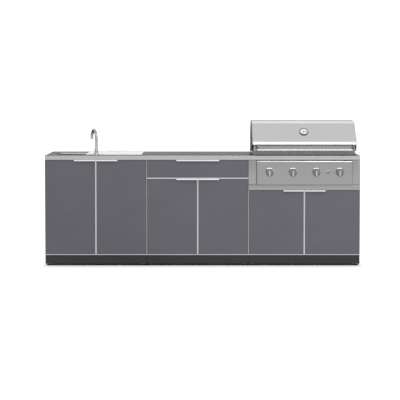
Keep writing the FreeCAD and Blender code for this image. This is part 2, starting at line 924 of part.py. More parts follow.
def faucet_lever():
    """A hub on the body's spindle with a tapered arm that stands up behind the neck."""
    root = faucet_at + Vector(0, faucet_neck_radius + lever_play, lever_height)
    hub_length = lever_spindle_length
    hub = prism(spout_sides, lever_hub_radius, root, root + Vector(0, hub_length, 0))
    frames = []
    for z, half in ((0, lever_root_half), (lever_length, lever_tip_half)):
        centre = root + Vector(0, hub_length / 2, z)
        ways = ((-1, -1), (1, -1), (1, 1), (-1, 1), (-1, -1))
        frames.append(Part.makePolygon([centre + Vector(a * half, b * half, 0) for a, b in ways]))
    lever = fuse(hub, [Part.makeLoft(frames, True, True)])
    bore = lever_spindle_radius + running_clearance
    return lever.cut(rod(bore, root, root + Vector(0, hub_length - lever_cap, 0)))


def grill_frame():
    """Two pillars beside the control panel on a lower rail that spans the cabinet."""
    x0, x1 = grill_left + cabinet_gap / 2, grill_right - cabinet_gap / 2
    y0 = front + frame_setback
    half = panel_width / 2 + panel_fit
    low = panel_bottom - panel_fit
    high = fascia_bottom - frame_top_gap
    return [
        block(x0, x1, y0, carcass_front, frame_bottom, low),
        block(x0, grill_centre - half, y0, carcass_front, low, high),
        block(grill_centre + half, x1, y0, carcass_front, low, high),
    ]


def control_panel():
    """A pan open at the back with a rounded top edge and a hole for each stem."""
    x0, x1 = grill_centre - panel_width / 2, grill_centre + panel_width / 2
    y1 = panel_face + panel_depth
    top = panel_bottom + panel_height
    pan = block(x0, x1, panel_face, y1, panel_bottom, top)
    pan = round_edges(pan, panel_top_round, lambda p: near(p.y, panel_face) and near(p.z, top))
    t = panel_sheet
    hollow = block(x0 + t, x1 - t, panel_face + t, y1 + t, panel_bottom + t, top - t)
    inner = panel_top_round - t
    hollow = round_edges(hollow, inner, lambda p: near(p.y, panel_face + t) and near(p.z, top - t))
    pan = pan.cut(hollow)
    holes = [(x, 1.5 * plunger_half + panel_hole_play) for x in burner_places]
    holes.append((igniter_x, igniter_radius + running_clearance))
    for x, radius in holes:
        mouth = Vector(x, panel_face - t, valve_height)
        pan = pan.cut(rod(radius, mouth, mouth + Vector(0, 3 * t, 0)))
    return pan


def bezels():
    """A bevelled ring round each knob and round the igniter button."""
    rings = [(x, bezel_radius, bezel_bore, bezel_height) for x in burner_places]
    bore = igniter_radius + running_clearance
    rings.append((igniter_x, igniter_bezel_radius, bore, igniter_bezel_height))
    solids = []
    for x, outer, inner, height in rings:
        seat = Vector(x, panel_face, valve_height)
        face = seat - Vector(0, height, 0)
        ring = tapered(round_sides, outer, inner + bezel_land, seat, face)
        solids.append(ring.cut(prism(round_sides, inner, seat, face)))
    return solids


def plunger(x):
    """The square part of a gas valve that slides in under the knob, whose shaft turns in it."""
    y1 = front + valve_front + plunger_in_valve
    y0 = panel_face - knob_back_gap
    half = plunger_half
    sleeve = block(x - half, x + half, y0, y1, valve_height - half, valve_height + half)
    bore = knob_shaft_radius + running_clearance
    depth = knob_shaft_length + plunger_bore_spare
    mouth = Vector(x, y0, valve_height)
    return sleeve.cut(rod(bore, mouth, mouth + Vector(0, depth, 0)))


def knob(x):
    """A tapered disc with a raised grip bar and a shaft."""
    grip = knob_reach - knob_back_gap
    seat = Vector(x, panel_face - knob_back_gap, valve_height)
    disc = tapered(round_sides, knob_radius, knob_front_radius, seat, seat - Vector(0, knob_disc, 0))
    half_w, half_l = knob_grip_width / 2, knob_grip_length / 2
    bar = block(
        x - half_w, x + half_w, seat.y - grip, seat.y - knob_disc / 2,
        valve_height - half_l, valve_height + half_l,
    )
    bar = chamfer_edges(bar, knob_grip_chamfer, lambda p: near(p.y, seat.y - grip))
    shaft = rod(knob_shaft_radius, seat, seat + Vector(0, knob_shaft_length, 0))
    return fuse(disc, [bar, shaft])


def igniter_button():
    """A push button with a keeper flange behind the panel."""
    t = panel_sheet
    radius = igniter_radius
    flange = radius + igniter_flange
    inner = igniter_proud + t + igniter_flange_back
    outline = [(0, 0), (radius, 0), (radius, inner), (flange, inner), (flange, inner + t), (0, inner + t)]
    front_end = Vector(igniter_x, panel_face - igniter_proud, valve_height)
    return turned(outline, front_end, Vector(0, 1, 0))


def valve(x):
    """A gas valve: a bored barrel, a foot on the manifold and a jet in the burner's mouth."""
    y0 = front + valve_front
    y1 = y0 + valve_length
    centre = Vector(x, y0, valve_height)
    end = Vector(x, y1, valve_height)
    barrel = prism(6, valve_radius, centre, end)
    jet = prism(6, valve_jet_radius, end, end + Vector(0, valve_jet_length, 0))
    half = valve_jet_radius
    y = front + manifold_from_front
    foot_z = valve_height - manifold_drop + manifold_half
    foot = block(x - half, x + half, y - half, y + half, foot_z, valve_height)
    body = fuse(barrel, [jet, foot])
    half = plunger_half + running_clearance
    depth = plunger_in_valve + knob_back_gap
    z = valve_height
    return body.cut(block(x - half, x + half, y0 - half, y0 + depth, z - half, z + half))


def gas_manifold():
    """A square pipe behind the panel with straps to the firebox and a threaded inlet at its right."""
    top = manifold_at
    y, z = top.y, top.z
    half = manifold_half
    x0 = burner_places[0] - manifold_overhang
    pipe = block(x0, top.x + half, y - half, y + half, z - half, z + half)
    low = top - Vector(0, 0, inlet_length)
    drop = block(top.x - half, top.x + half, y - half, y + half, low.z + inlet_thread_length, z)
    thread = rod(inlet_thread_radius, low, low + Vector(0, 0, inlet_thread_length))
    wall = front + firebox_front + firebox_throat
    straps = []
    for x in (burner_places[0], burner_places[-1]):
        x += valve_radius + manifold_strap
        reach = manifold_strap / 2
        t = manifold_strap_sheet / 2
        straps.append(block(x - reach, x + reach, y, wall, z - t, z + t))
        straps.append(block(x - reach, x + reach, wall - 2 * t, wall, z - reach, z + reach))
    return fuse(pipe, [drop, thread] + straps)


def at_grill(back_by, above):
    """A (y, z) point given behind the worktop's edge and above the worktop."""
    return front + back_by, deck_height + above


def firebox_end(way):
    """An end plate: the firebox's side view with a hinge ear at the rear of its top edge."""
    side = grill_centre + way * firebox_half
    x0, x1 = sorted((side, side - way * firebox_sheet))
    y1 = firebox_front + firebox_length
    throat = firebox_front + firebox_throat
    ear_front = hinge_back - hinge_ear_radius
    outline = [
        (firebox_front, firebox_above_deck),
        (firebox_front, -firebox_throat_top),
        (throat, -firebox_throat_bottom),
        (throat, -firebox_below_deck),
        (y1, -firebox_below_deck),
        (y1, firebox_rear_lip),
        (ear_front, firebox_rear_lip),
        (ear_front - firebox_above_deck, firebox_above_deck),
    ]
    plate = along_x([at_grill(y, z) for y, z in outline], x0, x1)
    ear_y, ear_z = at_grill(hinge_back, hinge_height)
    r = hinge_ear_radius
    web = block(x0, x1, ear_y - r, ear_y + r, deck_height, ear_z)
    return fuse(plate, [web, rod(r, Vector(x0, ear_y, ear_z), Vector(x1, ear_y, ear_z))])


def hinge_pin(way):
    """The pin outside an end plate's ear, on which the hood turns."""
    y, z = at_grill(hinge_back, hinge_height)
    root = Vector(grill_centre + way * firebox_half, y, z)
    return rod(hinge_pin_radius, root, root + Vector(way * (firebox_side_gap + hinge_pin_in_cap), 0, 0))


def firebox_walls():
    """The front wall in three flats, the lowest with the burners' holes, and the rear wall."""
    half = firebox_half - firebox_sheet
    x0, x1 = grill_centre - half, grill_centre + half
    t = firebox_sheet
    bends = (
        (firebox_front, firebox_above_deck),
        (firebox_front, -firebox_throat_top),
        (firebox_front + firebox_throat, -firebox_throat_bottom),
        (firebox_front + firebox_throat, -firebox_below_deck),
    )
    slope = math.hypot(firebox_throat, firebox_throat_bottom - firebox_throat_top)
    drop = t * (slope - firebox_throat) / (firebox_throat_bottom - firebox_throat_top)
    inside = [(y + t, z + lift) for (y, z), lift in zip(bends, (0, drop, drop, 0))]
    walls = []
    for n in range(len(bends) - 1):
        outline = [bends[n], bends[n + 1], inside[n + 1], inside[n]]
        walls.append(along_x([at_grill(y, z) for y, z in outline], x0, x1))
    wall = front + firebox_front + firebox_throat
    for x in burner_places:
        hole = Vector(x, wall - t, valve_height)
        radius = burner_radius + burner_hole_play
        walls[-1] = walls[-1].cut(prism(burner_sides, radius, hole, hole + Vector(0, 3 * t, 0)))
    y1 = front + firebox_front + firebox_length
    bottom = deck_height - firebox_below_deck
    walls.append(block(x0, x1, y1 - t, y1, bottom, deck_height + firebox_rear_lip))
    return walls


def frame_strips(x0, x1, y0, y1, width, z0, z1):
    """Four strips around a rectangle; widths are for the left, right, front and rear strip."""
    left, right, fore, rear = width
    return [
        block(x0, x1, y0, y0 + fore, z0, z1),
        block(x0, x1, y1 - rear, y1, z0, z1),
        block(x0, x0 + left, y0 + fore, y1 - rear, z0, z1),
        block(x1 - right, x1, y0 + fore, y1 - rear, z0, z1),
    ]


def firebox_bottom():
    """Four strips of sheet round the opening through which fat drops into the tray."""
    t = firebox_sheet
    half = firebox_half - t
    y0 = front + firebox_front + firebox_throat + t
    y1 = front + firebox_front + firebox_length - t
    side = half - firebox_drop_width / 2
    end = (y1 - y0 - firebox_drop_length) / 2
    bottom = deck_height - firebox_below_deck
    width = (side, side, end, end)
    return frame_strips(grill_centre - half, grill_centre + half, y0, y1, width, bottom, bottom + t)


def firebox_flanges():
    """Four strips that lie on the worktop around the firebox."""
    f = firebox_flange
    y0 = front + firebox_front
    y1 = y0 + firebox_length
    half = firebox_half + f
    top = deck_height + firebox_flange_sheet
    width = (f, f, f, f)
    return frame_strips(
        grill_centre - half, grill_centre + half, y0 - f, y1 + f, width, deck_height, top
    )


def firebox_ledges():
    """Bars on the front and rear walls under the grates, the flame tamers and the burners' ends."""
    t, w = firebox_sheet, ledge_width
    half = firebox_half - t
    fore = front + firebox_front + t
    rear = front + firebox_front + firebox_length - t
    grate_z = deck_height - grate_below_deck
    tamer_z = deck_height - tamer_below_deck
    ledges = []
    for y0, y1, z in (
        (fore, fore + w, grate_z),
        (rear - w, rear, grate_z),
        (fore + firebox_throat, fore + firebox_throat + w, tamer_z),
        (rear - w, rear, tamer_z),
        (rear - w, rear, valve_height - burner_radius),
    ):
        ledges.append(block(grill_centre - half, grill_centre + half, y0, y1, z - ledge_sheet, z))
    return ledges


def tray_runners():
    """A wall and a foot on each side, hung from the firebox's bottom, for the grease tray."""
    y0 = front + firebox_front + firebox_throat
    y1 = front + firebox_front + firebox_length
    bottom = deck_height - firebox_below_deck
    t = tray_runner_sheet
    runners = []
    for way in (-1, 1):
        inside = grill_centre + way * (tray_width / 2 + tray_side_play)
        wall = sorted((inside, inside + way * t))
        foot = sorted((inside + way * t, inside - way * tray_runner_foot))
        runners.append(block(wall[0], wall[1], y0, y1, tray_bottom, bottom))
        runners.append(block(foot[0], foot[1], y0, y1, tray_bottom - t, tray_bottom))
    return runners


def firebox():
    """The welded firebox: end plates with the hinge pins, walls, bottom, flanges, ledges, runners."""
    solids = [firebox_end(way) for way in (-1, 1)] + [hinge_pin(way) for way in (-1, 1)]
    solids += firebox_walls() + firebox_bottom() + firebox_flanges()
    return solids + firebox_ledges() + tray_runners()


def burner(x):
    """A folded tube burner with a row of slots across its top."""
    wall = front + firebox_front + firebox_throat
    y0 = wall - burner_front_reach
    y1 = front + firebox_front + firebox_length - firebox_sheet - burner_rear_gap
    mouth = Vector(x, y0, valve_height)
    tube = prism(burner_sides, burner_radius, mouth, Vector(x, y1, valve_height))
    tube = tube.cut(prism(burner_sides, burner_bore, mouth, mouth + Vector(0, burner_mouth, 0)))
    pitch = (y1 - wall) / (port_count + 1)
    top = valve_height + burner_radius
    for n in range(port_count):
        y = wall + pitch * (n + 1)
        half = port_width / 2
        reach = port_length / 2
        tube = tube.cut(block(x - reach, x + reach, y - half, y + half, top - port_depth, 2 * top))
    return tube


def flame_tamer(x):
    """A roof-shaped sheet over a burner, with feet on the firebox's ledges."""
    half = tamer_width / 2
    t = tamer_sheet
    y0 = front + firebox_front + firebox_throat + firebox_sheet + tamer_end_gap
    y1 = front + firebox_front + firebox_length - firebox_sheet - tamer_end_gap
    z0 = deck_height - tamer_below_deck
    z1 = z0 + tamer_height
    corners = [
        (-half - tamer_foot, z0), (-half, z0), (0, z1 - t), (half, z0), (half + tamer_foot, z0),
        (half + tamer_foot, z0 + t), (half, z0 + t), (0, z1), (-half, z0 + t),
        (-half - tamer_foot, z0 + t),
    ]
    wire = Part.makePolygon([Vector(x + dx, y0, z) for dx, z in corners + corners[:1]])
    return Part.Face(wire).extrude(Vector(0, y1 - y0, 0))


def cooking_grate(n):
    """One of the grates: bars running front to back on two cross rails."""
    inside = 2 * (firebox_half - firebox_sheet) - grate_gap
    pitch = inside / grate_count
    x0 = grill_centre - firebox_half + firebox_sheet + grate_gap + pitch * n
    x1 = x0 + pitch - grate_gap
    y0 = front + firebox_front + firebox_sheet + tamer_end_gap
    y1 = front + firebox_front + firebox_length - firebox_sheet - tamer_end_gap
    z0 = deck_height - grate_below_deck
    z1 = z0 + grate_bar_height
    rail = grate_rail_width
    rails = [block(x0, x1, y, y + rail, z0, z1) for y in (y0, y1 - rail)]
    step = (x1 - x0 - grate_bar_width) / (grate_bar_count - 1)
    bars = []
    for k in range(grate_bar_count):
        x = x0 + step * k
        bars.append(block(x, x + grate_bar_width, y0, y1, z0, z1))
    return fuse(rails[0], rails[1:] + bars)


def warming_rack():
    """A shelf of flat wires on four legs that stand on the firebox's side walls."""
    reach = firebox_half - firebox_sheet / 2
    z = deck_height + rack_height
    y0, y1 = front + rack_front, front + rack_front + rack_length
    x0, x1 = grill_centre - reach, grill_centre + reach
    r = rack_wire / 2
    wires = []
    for y in (y0, y1):
        wires.append(block(x0 - r, x1 + r, y - r, y + r, z - rack_rail, z))
        for x in (x0, x1):
            wires.append(block(x - r, x + r, y - r, y + r, deck_height + firebox_above_deck, z))
    step = (x1 - x0) / (rack_bar_count + 1)
    for n in range(rack_bar_count):
        x = x0 + step * (n + 1)
        wires.append(block(x - r, x + r, y0, y1, z - rack_wire, z))
    return fuse(wires[0], wires[1:])


def hood_outline():
    """The hood's outside in side view, from its front lower edge round to its rear lower edge."""
    seat = firebox_above_deck + hood_seat_gap
    nose = hood_front - hood_nose_reach
    return [
        (hood_front, seat),
        (hood_front, hood_nose_low),
        (nose, hood_nose_low),
        (nose, hood_nose_high),
        (hood_brow_back, hood_brow_height),
        (hood_top_front, hood_top_height),
        (hood_top_back, hood_top_height),
        (hood_shoulder_back, hood_shoulder_height),
        (hood_rear, hood_rear_bottom + 3 * hood_brow_round),
        (hood_rear, hood_rear_bottom),
    ]


def hood_solid(x0, x1, closing):
    """The hood's outline closed along its lower edge and filled, with its corners rounded."""
    points = [at_grill(y, z) for y, z in hood_outline() + closing]
    solid = along_x(points, x0, x1)
    middle = (x0 + x1) / 2
    corners = {at_grill(y, z): hood_brow_round for y, z in hood_outline()[4:9]}
    nose = hood_front - hood_nose_reach
    corners[at_grill(nose, hood_nose_low)] = hood_nose_round
    corners[at_grill(nose, hood_nose_high)] = hood_nose_round
    for (y, z), radius in corners.items():
        solid = round_edges(
            solid, radius, lambda p, y=y, z=z: near(p.x, middle) and near(p.y, y) and near(p.z, z)
        )
    return solid


def hood_shell():
    """The rolled sheet between the end caps."""
    half = hood_width / 2 - hood_cap_thickness
    x0, x1 = grill_centre - half, grill_centre + half
    solid = hood_solid(x0, x1, [])
    end = [f for f in solid.Faces if near(f.CenterOfMass.x, x0)][0]
    inner = end.OuterWire.makeOffset2D(-hood_sheet, 2)
    hollow = Part.Face(inner).extrude(Vector(x1 - x0, 0, 0))
    shell = solid.cut(hollow)
    sheet = hood_sheet
    y0, z0 = at_grill(hood_front + sheet, firebox_above_deck - sheet)
    y1, z1 = at_grill(hood_rear - sheet, hood_rear_bottom + 3 * sheet)
    return shell.cut(block(x0, x1, y0, y1, z0, z1))


def hood_cap(way):
    """A cast end plate with a hinge lug at its rear and two bolt heads outside."""
    half = hood_width / 2
    inner = half - hood_cap_thickness
    xs = sorted((grill_centre + way * inner, grill_centre + way * half))
    seat = firebox_above_deck + hood_seat_gap
    plate = hood_solid(xs[0], xs[1], [(hood_rear - hood_sheet, seat)])
    y, z = at_grill(hinge_back, hinge_height)
    r = hinge_lug_radius
    lug = rod(r, Vector(xs[0], y, z), Vector(xs[1], y, z))
    web = block(xs[0], xs[1], y - r, y + r * 0.7, z, deck_height + 2 * hood_rear_bottom)
    heads = []
    for height in cap_bolt_heights:
        by, bz = at_grill(cap_bolt_back, height)
        root = Vector(grill_centre + way * half, by, bz)
        heads.append(prism(6, cap_bolt_radius, root, root + Vector(way * cap_bolt_height, 0, 0)))
    cap = fuse(plate, [lug, web] + heads)
    bore = hinge_pin_radius + running_clearance
    mouth = Vector(grill_centre + way * inner, y, z)
    return cap.cut(rod(bore, mouth, mouth + Vector(way * hinge_pin_in_cap, 0, 0)))


def hood_handle():
    """A tube in front of the hood on two slanting arms."""
    y = front - handle_forward
    z = deck_height + handle_height
    half = handle_half_length
    tube = rod(handle_radius, Vector(grill_centre - half, y, z), Vector(grill_centre + half, y, z))
    arms = []
    w = bracket_width
    for way in (-1, 1):
        tip_x = grill_centre + way * (half - w / 2)
        root_x = tip_x + way * bracket_slant
        frames = []
        root_z = deck_height + bracket_root_low
        tip_z = z - bracket_tip_height / 2
        for cx, cy, z0, h in (
            (root_x, front + hood_front, root_z, bracket_root_height),
            (tip_x, y, tip_z, bracket_tip_height),
        ):
            a, b = cx - w / 2, cx + w / 2
            corners = [Vector(a, cy, z0), Vector(b, cy, z0), Vector(b, cy, z0 + h), Vector(a, cy, z0 + h)]
            frames.append(Part.makePolygon(corners + corners[:1]))
        arms.append(Part.makeLoft(frames, True, True))
    return fuse(tube, arms)


def hood_gauge():
    """A round thermometer on the hood's face."""
    y0, z0 = at_grill(hood_front - hood_nose_reach, hood_nose_high)
    y1, z1 = at_grill(hood_brow_back, hood_brow_height)
    along = Vector(0, y1 - y0, z1 - z0)
    seat = Vector(grill_centre, y0, z0) + along * gauge_up_face
    outward = Vector(0, z0 - z1, y1 - y0)
    outward = outward / outward.Length
    face = seat + outward * gauge_height
    case = tapered(round_sides, gauge_radius, gauge_radius, seat, face)
    inner = gauge_radius - gauge_rim
    dial = face - outward * gauge_rim_height
    return case.cut(tapered(round_sides, inner, inner, dial, face))


def grease_tray():
    """A pan under the firebox that slides out through the window in the cabinet's back."""
    x0, x1 = grill_centre - tray_width / 2, grill_centre + tray_width / 2
    y0 = front + firebox_front + firebox_throat + tray_front_gap
    y1 = y0 + tray_length
    t = tray_sheet
    pan = block(x0, x1, y0, y1, tray_bottom, tray_top)
    pan = pan.cut(block(x0 + t, x1 - t, y0 + t, y1 - t, tray_bottom + t, 2 * tray_top))
    lip = block(
        grill_centre - tray_width / 4, grill_centre + tray_width / 4, y1, y1 + tray_lip,
        tray_top - t, tray_top,
    )
    return fuse(pan, [lip])


def build():
    save("sink_deck", sink_deck())
    save("bar_deck", worktop(bar_left, grill_left))
    save("grill_deck", grill_deck())
    for name in cabinets:
        save(name + "_cabinet_sides", cabinet_sides(name))
    spans = [cabinets[name][:2] for name in cabinets]
    save("cabinet_floors", [floor_panel(x0, x1) for x0, x1 in spans])
    save("cabinet_backs", [back_panel(name) for name in cabinets])
    rails = [front_rail(x0, x1) for x0, x1 in spans[:2]] + [back_rail(x0, x1) for x0, x1 in spans]
    save("cabinet_rails", rails + [divider_rail()])
    save("plinth_frames", [piece for name in cabinets for piece in plinth(name)])
    save("levelling_feet", [levelling_foot(p) for name in cabinets for p in foot_places(name)])
    pins = []
    pull_lengths = {"sink": sink_door_pull, "bar": bar_door_pull, "grill": grill_door_pull}
    for name in cabinets:
        for side, word in enumerate(("left", "right")):
            pins += [lower_pivot(name, side), upper_pivot(name, side)]
            save(name + "_" + word + "_door", door(name, side))
            save(name + "_" + word + "_pull", door_pull(name, side, pull_lengths[name]))
    save("door_pivots", pins)
    save("drawer_front", drawer_front())
    middle = (bar_left + grill_left) / 2
    save("drawer_pull", pull(middle - drawer_pull_length / 2, middle + drawer_pull_length / 2, door_top))
    save("drawer_box", drawer_box())
    save("drawer_fixed_slides", fixed_slides())
    save("drawer_middle_slides", middle_slides())
    save("sink_bowl", sink_bowl())
    save("sink_drain", sink_drain())
    save("sink_strainer", sink_strainer())
    save("sink_board", sink_board())
    save("faucet_body", faucet_body())
    save("faucet_spout", faucet_spout())
    save("faucet_lever", faucet_lever())
    save("grill_frame", grill_frame())
    save("control_panel", control_panel())
    save("knob_bezels", bezels())
    for n, x in enumerate(burner_places, 1):
        save("valve_plunger_" + str(n), plunger(x))
        save("knob_" + str(n), knob(x))
    save("igniter_button", igniter_button())
    save("gas_valves", [valve(x) for x in burner_places])
    save("gas_manifold", gas_manifold())
    save("firebox", firebox())
    save("burners", [burner(x) for x in burner_places])
    save("flame_tamers", [flame_tamer(x) for x in burner_places])
    save("cooking_grates", [cooking_grate(n) for n in range(grate_count)])
    save("warming_rack", warming_rack())
    save("hood_shell", hood_shell())
    save("hood_end_caps", [hood_cap(-1), hood_cap(1)])
    save("hood_handle", hood_handle())
    save("hood_gauge", hood_gauge())
    save("grease_tray", grease_tray())


os.makedirs("parts", exist_ok=True)
build()
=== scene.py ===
import bmesh
import bpy
import json
import math
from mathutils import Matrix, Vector


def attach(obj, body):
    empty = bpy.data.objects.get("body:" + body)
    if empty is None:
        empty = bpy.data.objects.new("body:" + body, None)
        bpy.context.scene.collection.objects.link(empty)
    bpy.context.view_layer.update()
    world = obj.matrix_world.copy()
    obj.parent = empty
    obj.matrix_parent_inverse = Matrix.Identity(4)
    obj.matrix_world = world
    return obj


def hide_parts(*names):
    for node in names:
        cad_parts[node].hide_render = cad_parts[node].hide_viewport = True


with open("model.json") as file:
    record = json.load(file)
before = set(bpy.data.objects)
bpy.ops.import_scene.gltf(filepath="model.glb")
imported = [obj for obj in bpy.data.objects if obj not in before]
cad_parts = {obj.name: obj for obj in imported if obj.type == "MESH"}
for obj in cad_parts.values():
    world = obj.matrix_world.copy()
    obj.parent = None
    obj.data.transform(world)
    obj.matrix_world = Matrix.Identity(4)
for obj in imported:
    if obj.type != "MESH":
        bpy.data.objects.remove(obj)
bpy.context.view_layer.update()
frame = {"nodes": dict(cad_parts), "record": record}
nodes = frame["nodes"]
bodies = frame["record"]["behaviour"]["bodies"]
body_of_node = {node: body for body, held in bodies.items() for node in held}
MM = 0.001


# Colours and shader nodes

def linear(code):
    """A six-digit sRGB hex colour as linear red, green, blue and alpha."""
    values = []
    for k in (0, 2, 4):
        c = int(code[k:k + 2], 16) / 255
        values.append(c / 12.92 if c <= 0.04045 else ((c + 0.055) / 1.055) ** 2.4)
    return (*values, 1.0)


def add_node(tree, kind, settings=(), inputs=()):
    """Adds a shader node; an input takes a plain value or another node's output."""
    node = tree.nodes.new("ShaderNode" + kind)
    for name, value in dict(settings).items():
        setattr(node, name, value)
    for name, value in dict(inputs).items():
        if isinstance(value, bpy.types.NodeSocket):
            tree.links.new(value, node.inputs[name])
        else:
            node.inputs[name].default_value = value
    return node


def new_material(name):
    material = bpy.data.materials.new(name)
    material.use_nodes = True
    tree = material.node_tree
    shader = tree.nodes["Principled BSDF"]
    return material, tree, shader


def noise(tree, stretch, detail=3.0, turn=(0, 0, 0)):
    """Noise on object coordinates; stretch is one cycle's length along each axis, in millimetres."""
    place = add_node(tree, "TexCoord").outputs["Object"]
    scale = [1 / (length * MM) for length in stretch]
    mapped = add_node(tree, "Mapping", inputs={"Vector": place, "Scale": scale, "Rotation": turn})
    pattern = add_node(
        tree, "TexNoise",
        inputs={"Vector": mapped.outputs[0], "Scale": 1.0, "Detail": detail, "Roughness": 0.6},
    )
    return pattern.outputs["Fac"]


def between(tree, value, low, high, start=0.3, end=0.7):
    """Turns a pattern's middle range into low to high."""
    node = add_node(
        tree, "MapRange",
        inputs={"Value": value, "From Min": start, "From Max": end, "To Min": low, "To Max": high},
    )
    return node.outputs["Result"]


def tinted(tree, value, dark, light):
    ramp = add_node(tree, "ValToRGB", inputs={"Fac": value})
    ramp.color_ramp.elements[0].position = 0.3
    ramp.color_ramp.elements[1].position = 0.7
    ramp.color_ramp.elements[0].color = linear(dark)
    ramp.color_ramp.elements[1].color = linear(light)
    return ramp.outputs["Color"]


def bumped(tree, shader, value, depth, strength=1.0):
    """Bump from a pattern whose full height is depth millimetres."""
    bump = add_node(tree, "Bump", inputs={"Height": value, "Distance": depth * MM, "Strength": strength})
    tree.links.new(bump.outputs["Normal"], shader.inputs["Normal"])


def brushed_stainless(name, dark, light, along, rough=(0.24, 0.36), line=1.0, edge="ffffff"):
    """Stainless sheet brushed one way: soft streaks that stretch reflections across the grain.

    Real grain is about 0.1 mm apart; line, in millimetres, is drawn coarser so that it shows.
    edge is the tint that the sheet takes where it is seen at a flat angle; an edge darker than white is
    painted shade, dimming the sheet where it is seen at a flat angle.
    """
    material, tree, shader = new_material(name)
    stretch = [line] * 3
    stretch["xyz".index(along)] = 260.0
    grain = noise(tree, stretch, 4.0)
    tree.links.new(tinted(tree, grain, dark, light), shader.inputs["Base Color"])
    tree.links.new(between(tree, grain, rough[0], rough[1]), shader.inputs["Roughness"])
    shader.inputs["Metallic"].default_value = 1.0
    shader.inputs["Specular Tint"].default_value = linear(edge)
    shader.inputs["Anisotropic"].default_value = 0.35
    bumped(tree, shader, grain, 0.006, 0.5)
    return material


def powder_coat(name, dark, light, rough=(0.40, 0.48)):
    """Baked powder on steel: an even colour, a satin sheen and a fine orange peel.

    The peel's bumps are about 1 mm across on the real panels and are drawn 3 mm across.
    """
    material, tree, shader = new_material(name)
    cloud = noise(tree, (240, 240, 240), 2.0)
    peel = noise(tree, (3, 3, 3), 1.0)
    tree.links.new(tinted(tree, cloud, dark, light), shader.inputs["Base Color"])
    tree.links.new(between(tree, peel, rough[0], rough[1]), shader.inputs["Roughness"])
    bumped(tree, shader, peel, 0.03, 0.5)
    return material


def polished_metal(name, dark, light, rough=(0.05, 0.10), smear=40.0, edge="ffffff"):
    """Plated or buffed metal: sharp reflections with faint wiping marks."""
    material, tree, shader = new_material(name)
    wipe = noise(tree, (smear, smear, 4 * smear), 3.0)
    tree.links.new(tinted(tree, wipe, dark, light), shader.inputs["Base Color"])
    tree.links.new(between(tree, wipe, rough[0], rough[1]), shader.inputs["Roughness"])
    shader.inputs["Metallic"].default_value = 1.0
    shader.inputs["Specular Tint"].default_value = linear(edge)
    return material


def cast_surface(name, dark, light, metallic, rough, grit=2.2, depth=0.12, edge="ffffff"):
    """Sand or pressure cast metal: grains of grit millimetres, slightly uneven in colour."""
    material, tree, shader = new_material(name)
    grains = noise(tree, (grit, grit, grit), 3.0)
    cloud = noise(tree, (90, 90, 90), 2.0)
    tree.links.new(tinted(tree, cloud, dark, light), shader.inputs["Base Color"])
    tree.links.new(between(tree, grains, rough[0], rough[1]), shader.inputs["Roughness"])
    shader.inputs["Metallic"].default_value = metallic
    shader.inputs["Specular Tint"].default_value = linear(edge)
    bumped(tree, shader, grains, depth, 0.5)
    return material


def moulded_plastic(name, dark, light, rough=(0.42, 0.55), grain=1.5):
    """Moulded plastic: an even colour with a spark-eroded grain."""
    material, tree, shader = new_material(name)
    eroded = noise(tree, (grain, grain, grain), 2.0)
    cloud = noise(tree, (60, 60, 60), 2.0)
    tree.links.new(tinted(tree, cloud, dark, light), shader.inputs["Base Color"])
    tree.links.new(between(tree, eroded, rough[0], rough[1]), shader.inputs["Roughness"])
    bumped(tree, shader, eroded, 0.03, 0.5)
    return material


# The finishes of this island

# Its grey edge tint is painted shade: the worktop's top, seen at a flat angle, is drawn darker, as if it
# mirrored the dark grill front.
worktop_steel = brushed_stainless("brushed worktop stainless", "acacae", "b6b6b8", "x", edge="707072")
# A darker steel with a near-black edge tint: painted shade inside the sink's recess.
painted_shade_recess_steel = brushed_stainless("shaded recess stainless", "707072", "7a7a7c", "x", edge="2c2c2e")
front_steel = brushed_stainless("brushed front stainless", "929293", "9b9b9c", "x", (0.28, 0.36))
# A darker copy of the front steel: painted shade on the hood's lower face, under its nose.
painted_shade_skirt_steel = brushed_stainless("shaded skirt stainless", "8e8e90", "98989a", "x", (0.28, 0.36))
hood_steel = brushed_stainless(
    "brushed hood stainless", "bebebf", "c6c6c7", "x", (0.24, 0.32), edge="a4a4a6"
)
# A near-white copy of the steel: painted highlight on the hood's nose and on the control panel's top
# edge.
painted_highlight_steel = brushed_stainless("bright nose stainless", "f4f4f4", "fafafa", "x", (0.12, 0.18))
trim_steel = brushed_stainless(
    "satin trim stainless", "dcdcdc", "e6e6e6", "x", (0.18, 0.26), edge="5c5c5e"
)
handle_steel = brushed_stainless(
    "satin handle stainless", "bebebf", "c8c8c9", "x", (0.18, 0.26), edge="5c5c5e"
)
edge_steel = brushed_stainless("satin edging", "c2c0c2", "cbc9cb", "z", (0.30, 0.40))
seam_steel = brushed_stainless("plain seam strip", "b4ada6", "beb7b0", "z", (0.36, 0.46))
inner_steel = brushed_stainless("plain inner sheet", "a0a1a2", "a8a9aa", "y", (0.34, 0.46), 2.0)
basin_steel = brushed_stainless("deep drawn basin stainless", "a6a7a8", "b0b1b2", "y", (0.20, 0.30))
slate_paint = powder_coat("slate powder coat", "626069", "66646d")
charcoal_paint = powder_coat("charcoal powder coat", "1f1f24", "242429", (0.45, 0.55))
case_paint = powder_coat("case powder coat", "56565a", "5c5c60", (0.45, 0.55))
chrome = polished_metal("polished chrome plate", "d4d5d7", "dddee0")
# The faucet's chrome drawn darker, with a near-black edge tint: painted shade in place of the darker
# surroundings that real chrome mirrors.
chrome_with_painted_shade = polished_metal("shaded chrome plate", "a0a1a3", "aaabad", (0.06, 0.10), edge="101012")
# Polished plate drawn darker than bright metal: painted shade standing in for the darker surroundings
# that the rings mirror.
bezel_plate_painted_dark = polished_metal("bezel plate", "929294", "9c9c9e", (0.10, 0.15), 12.0)
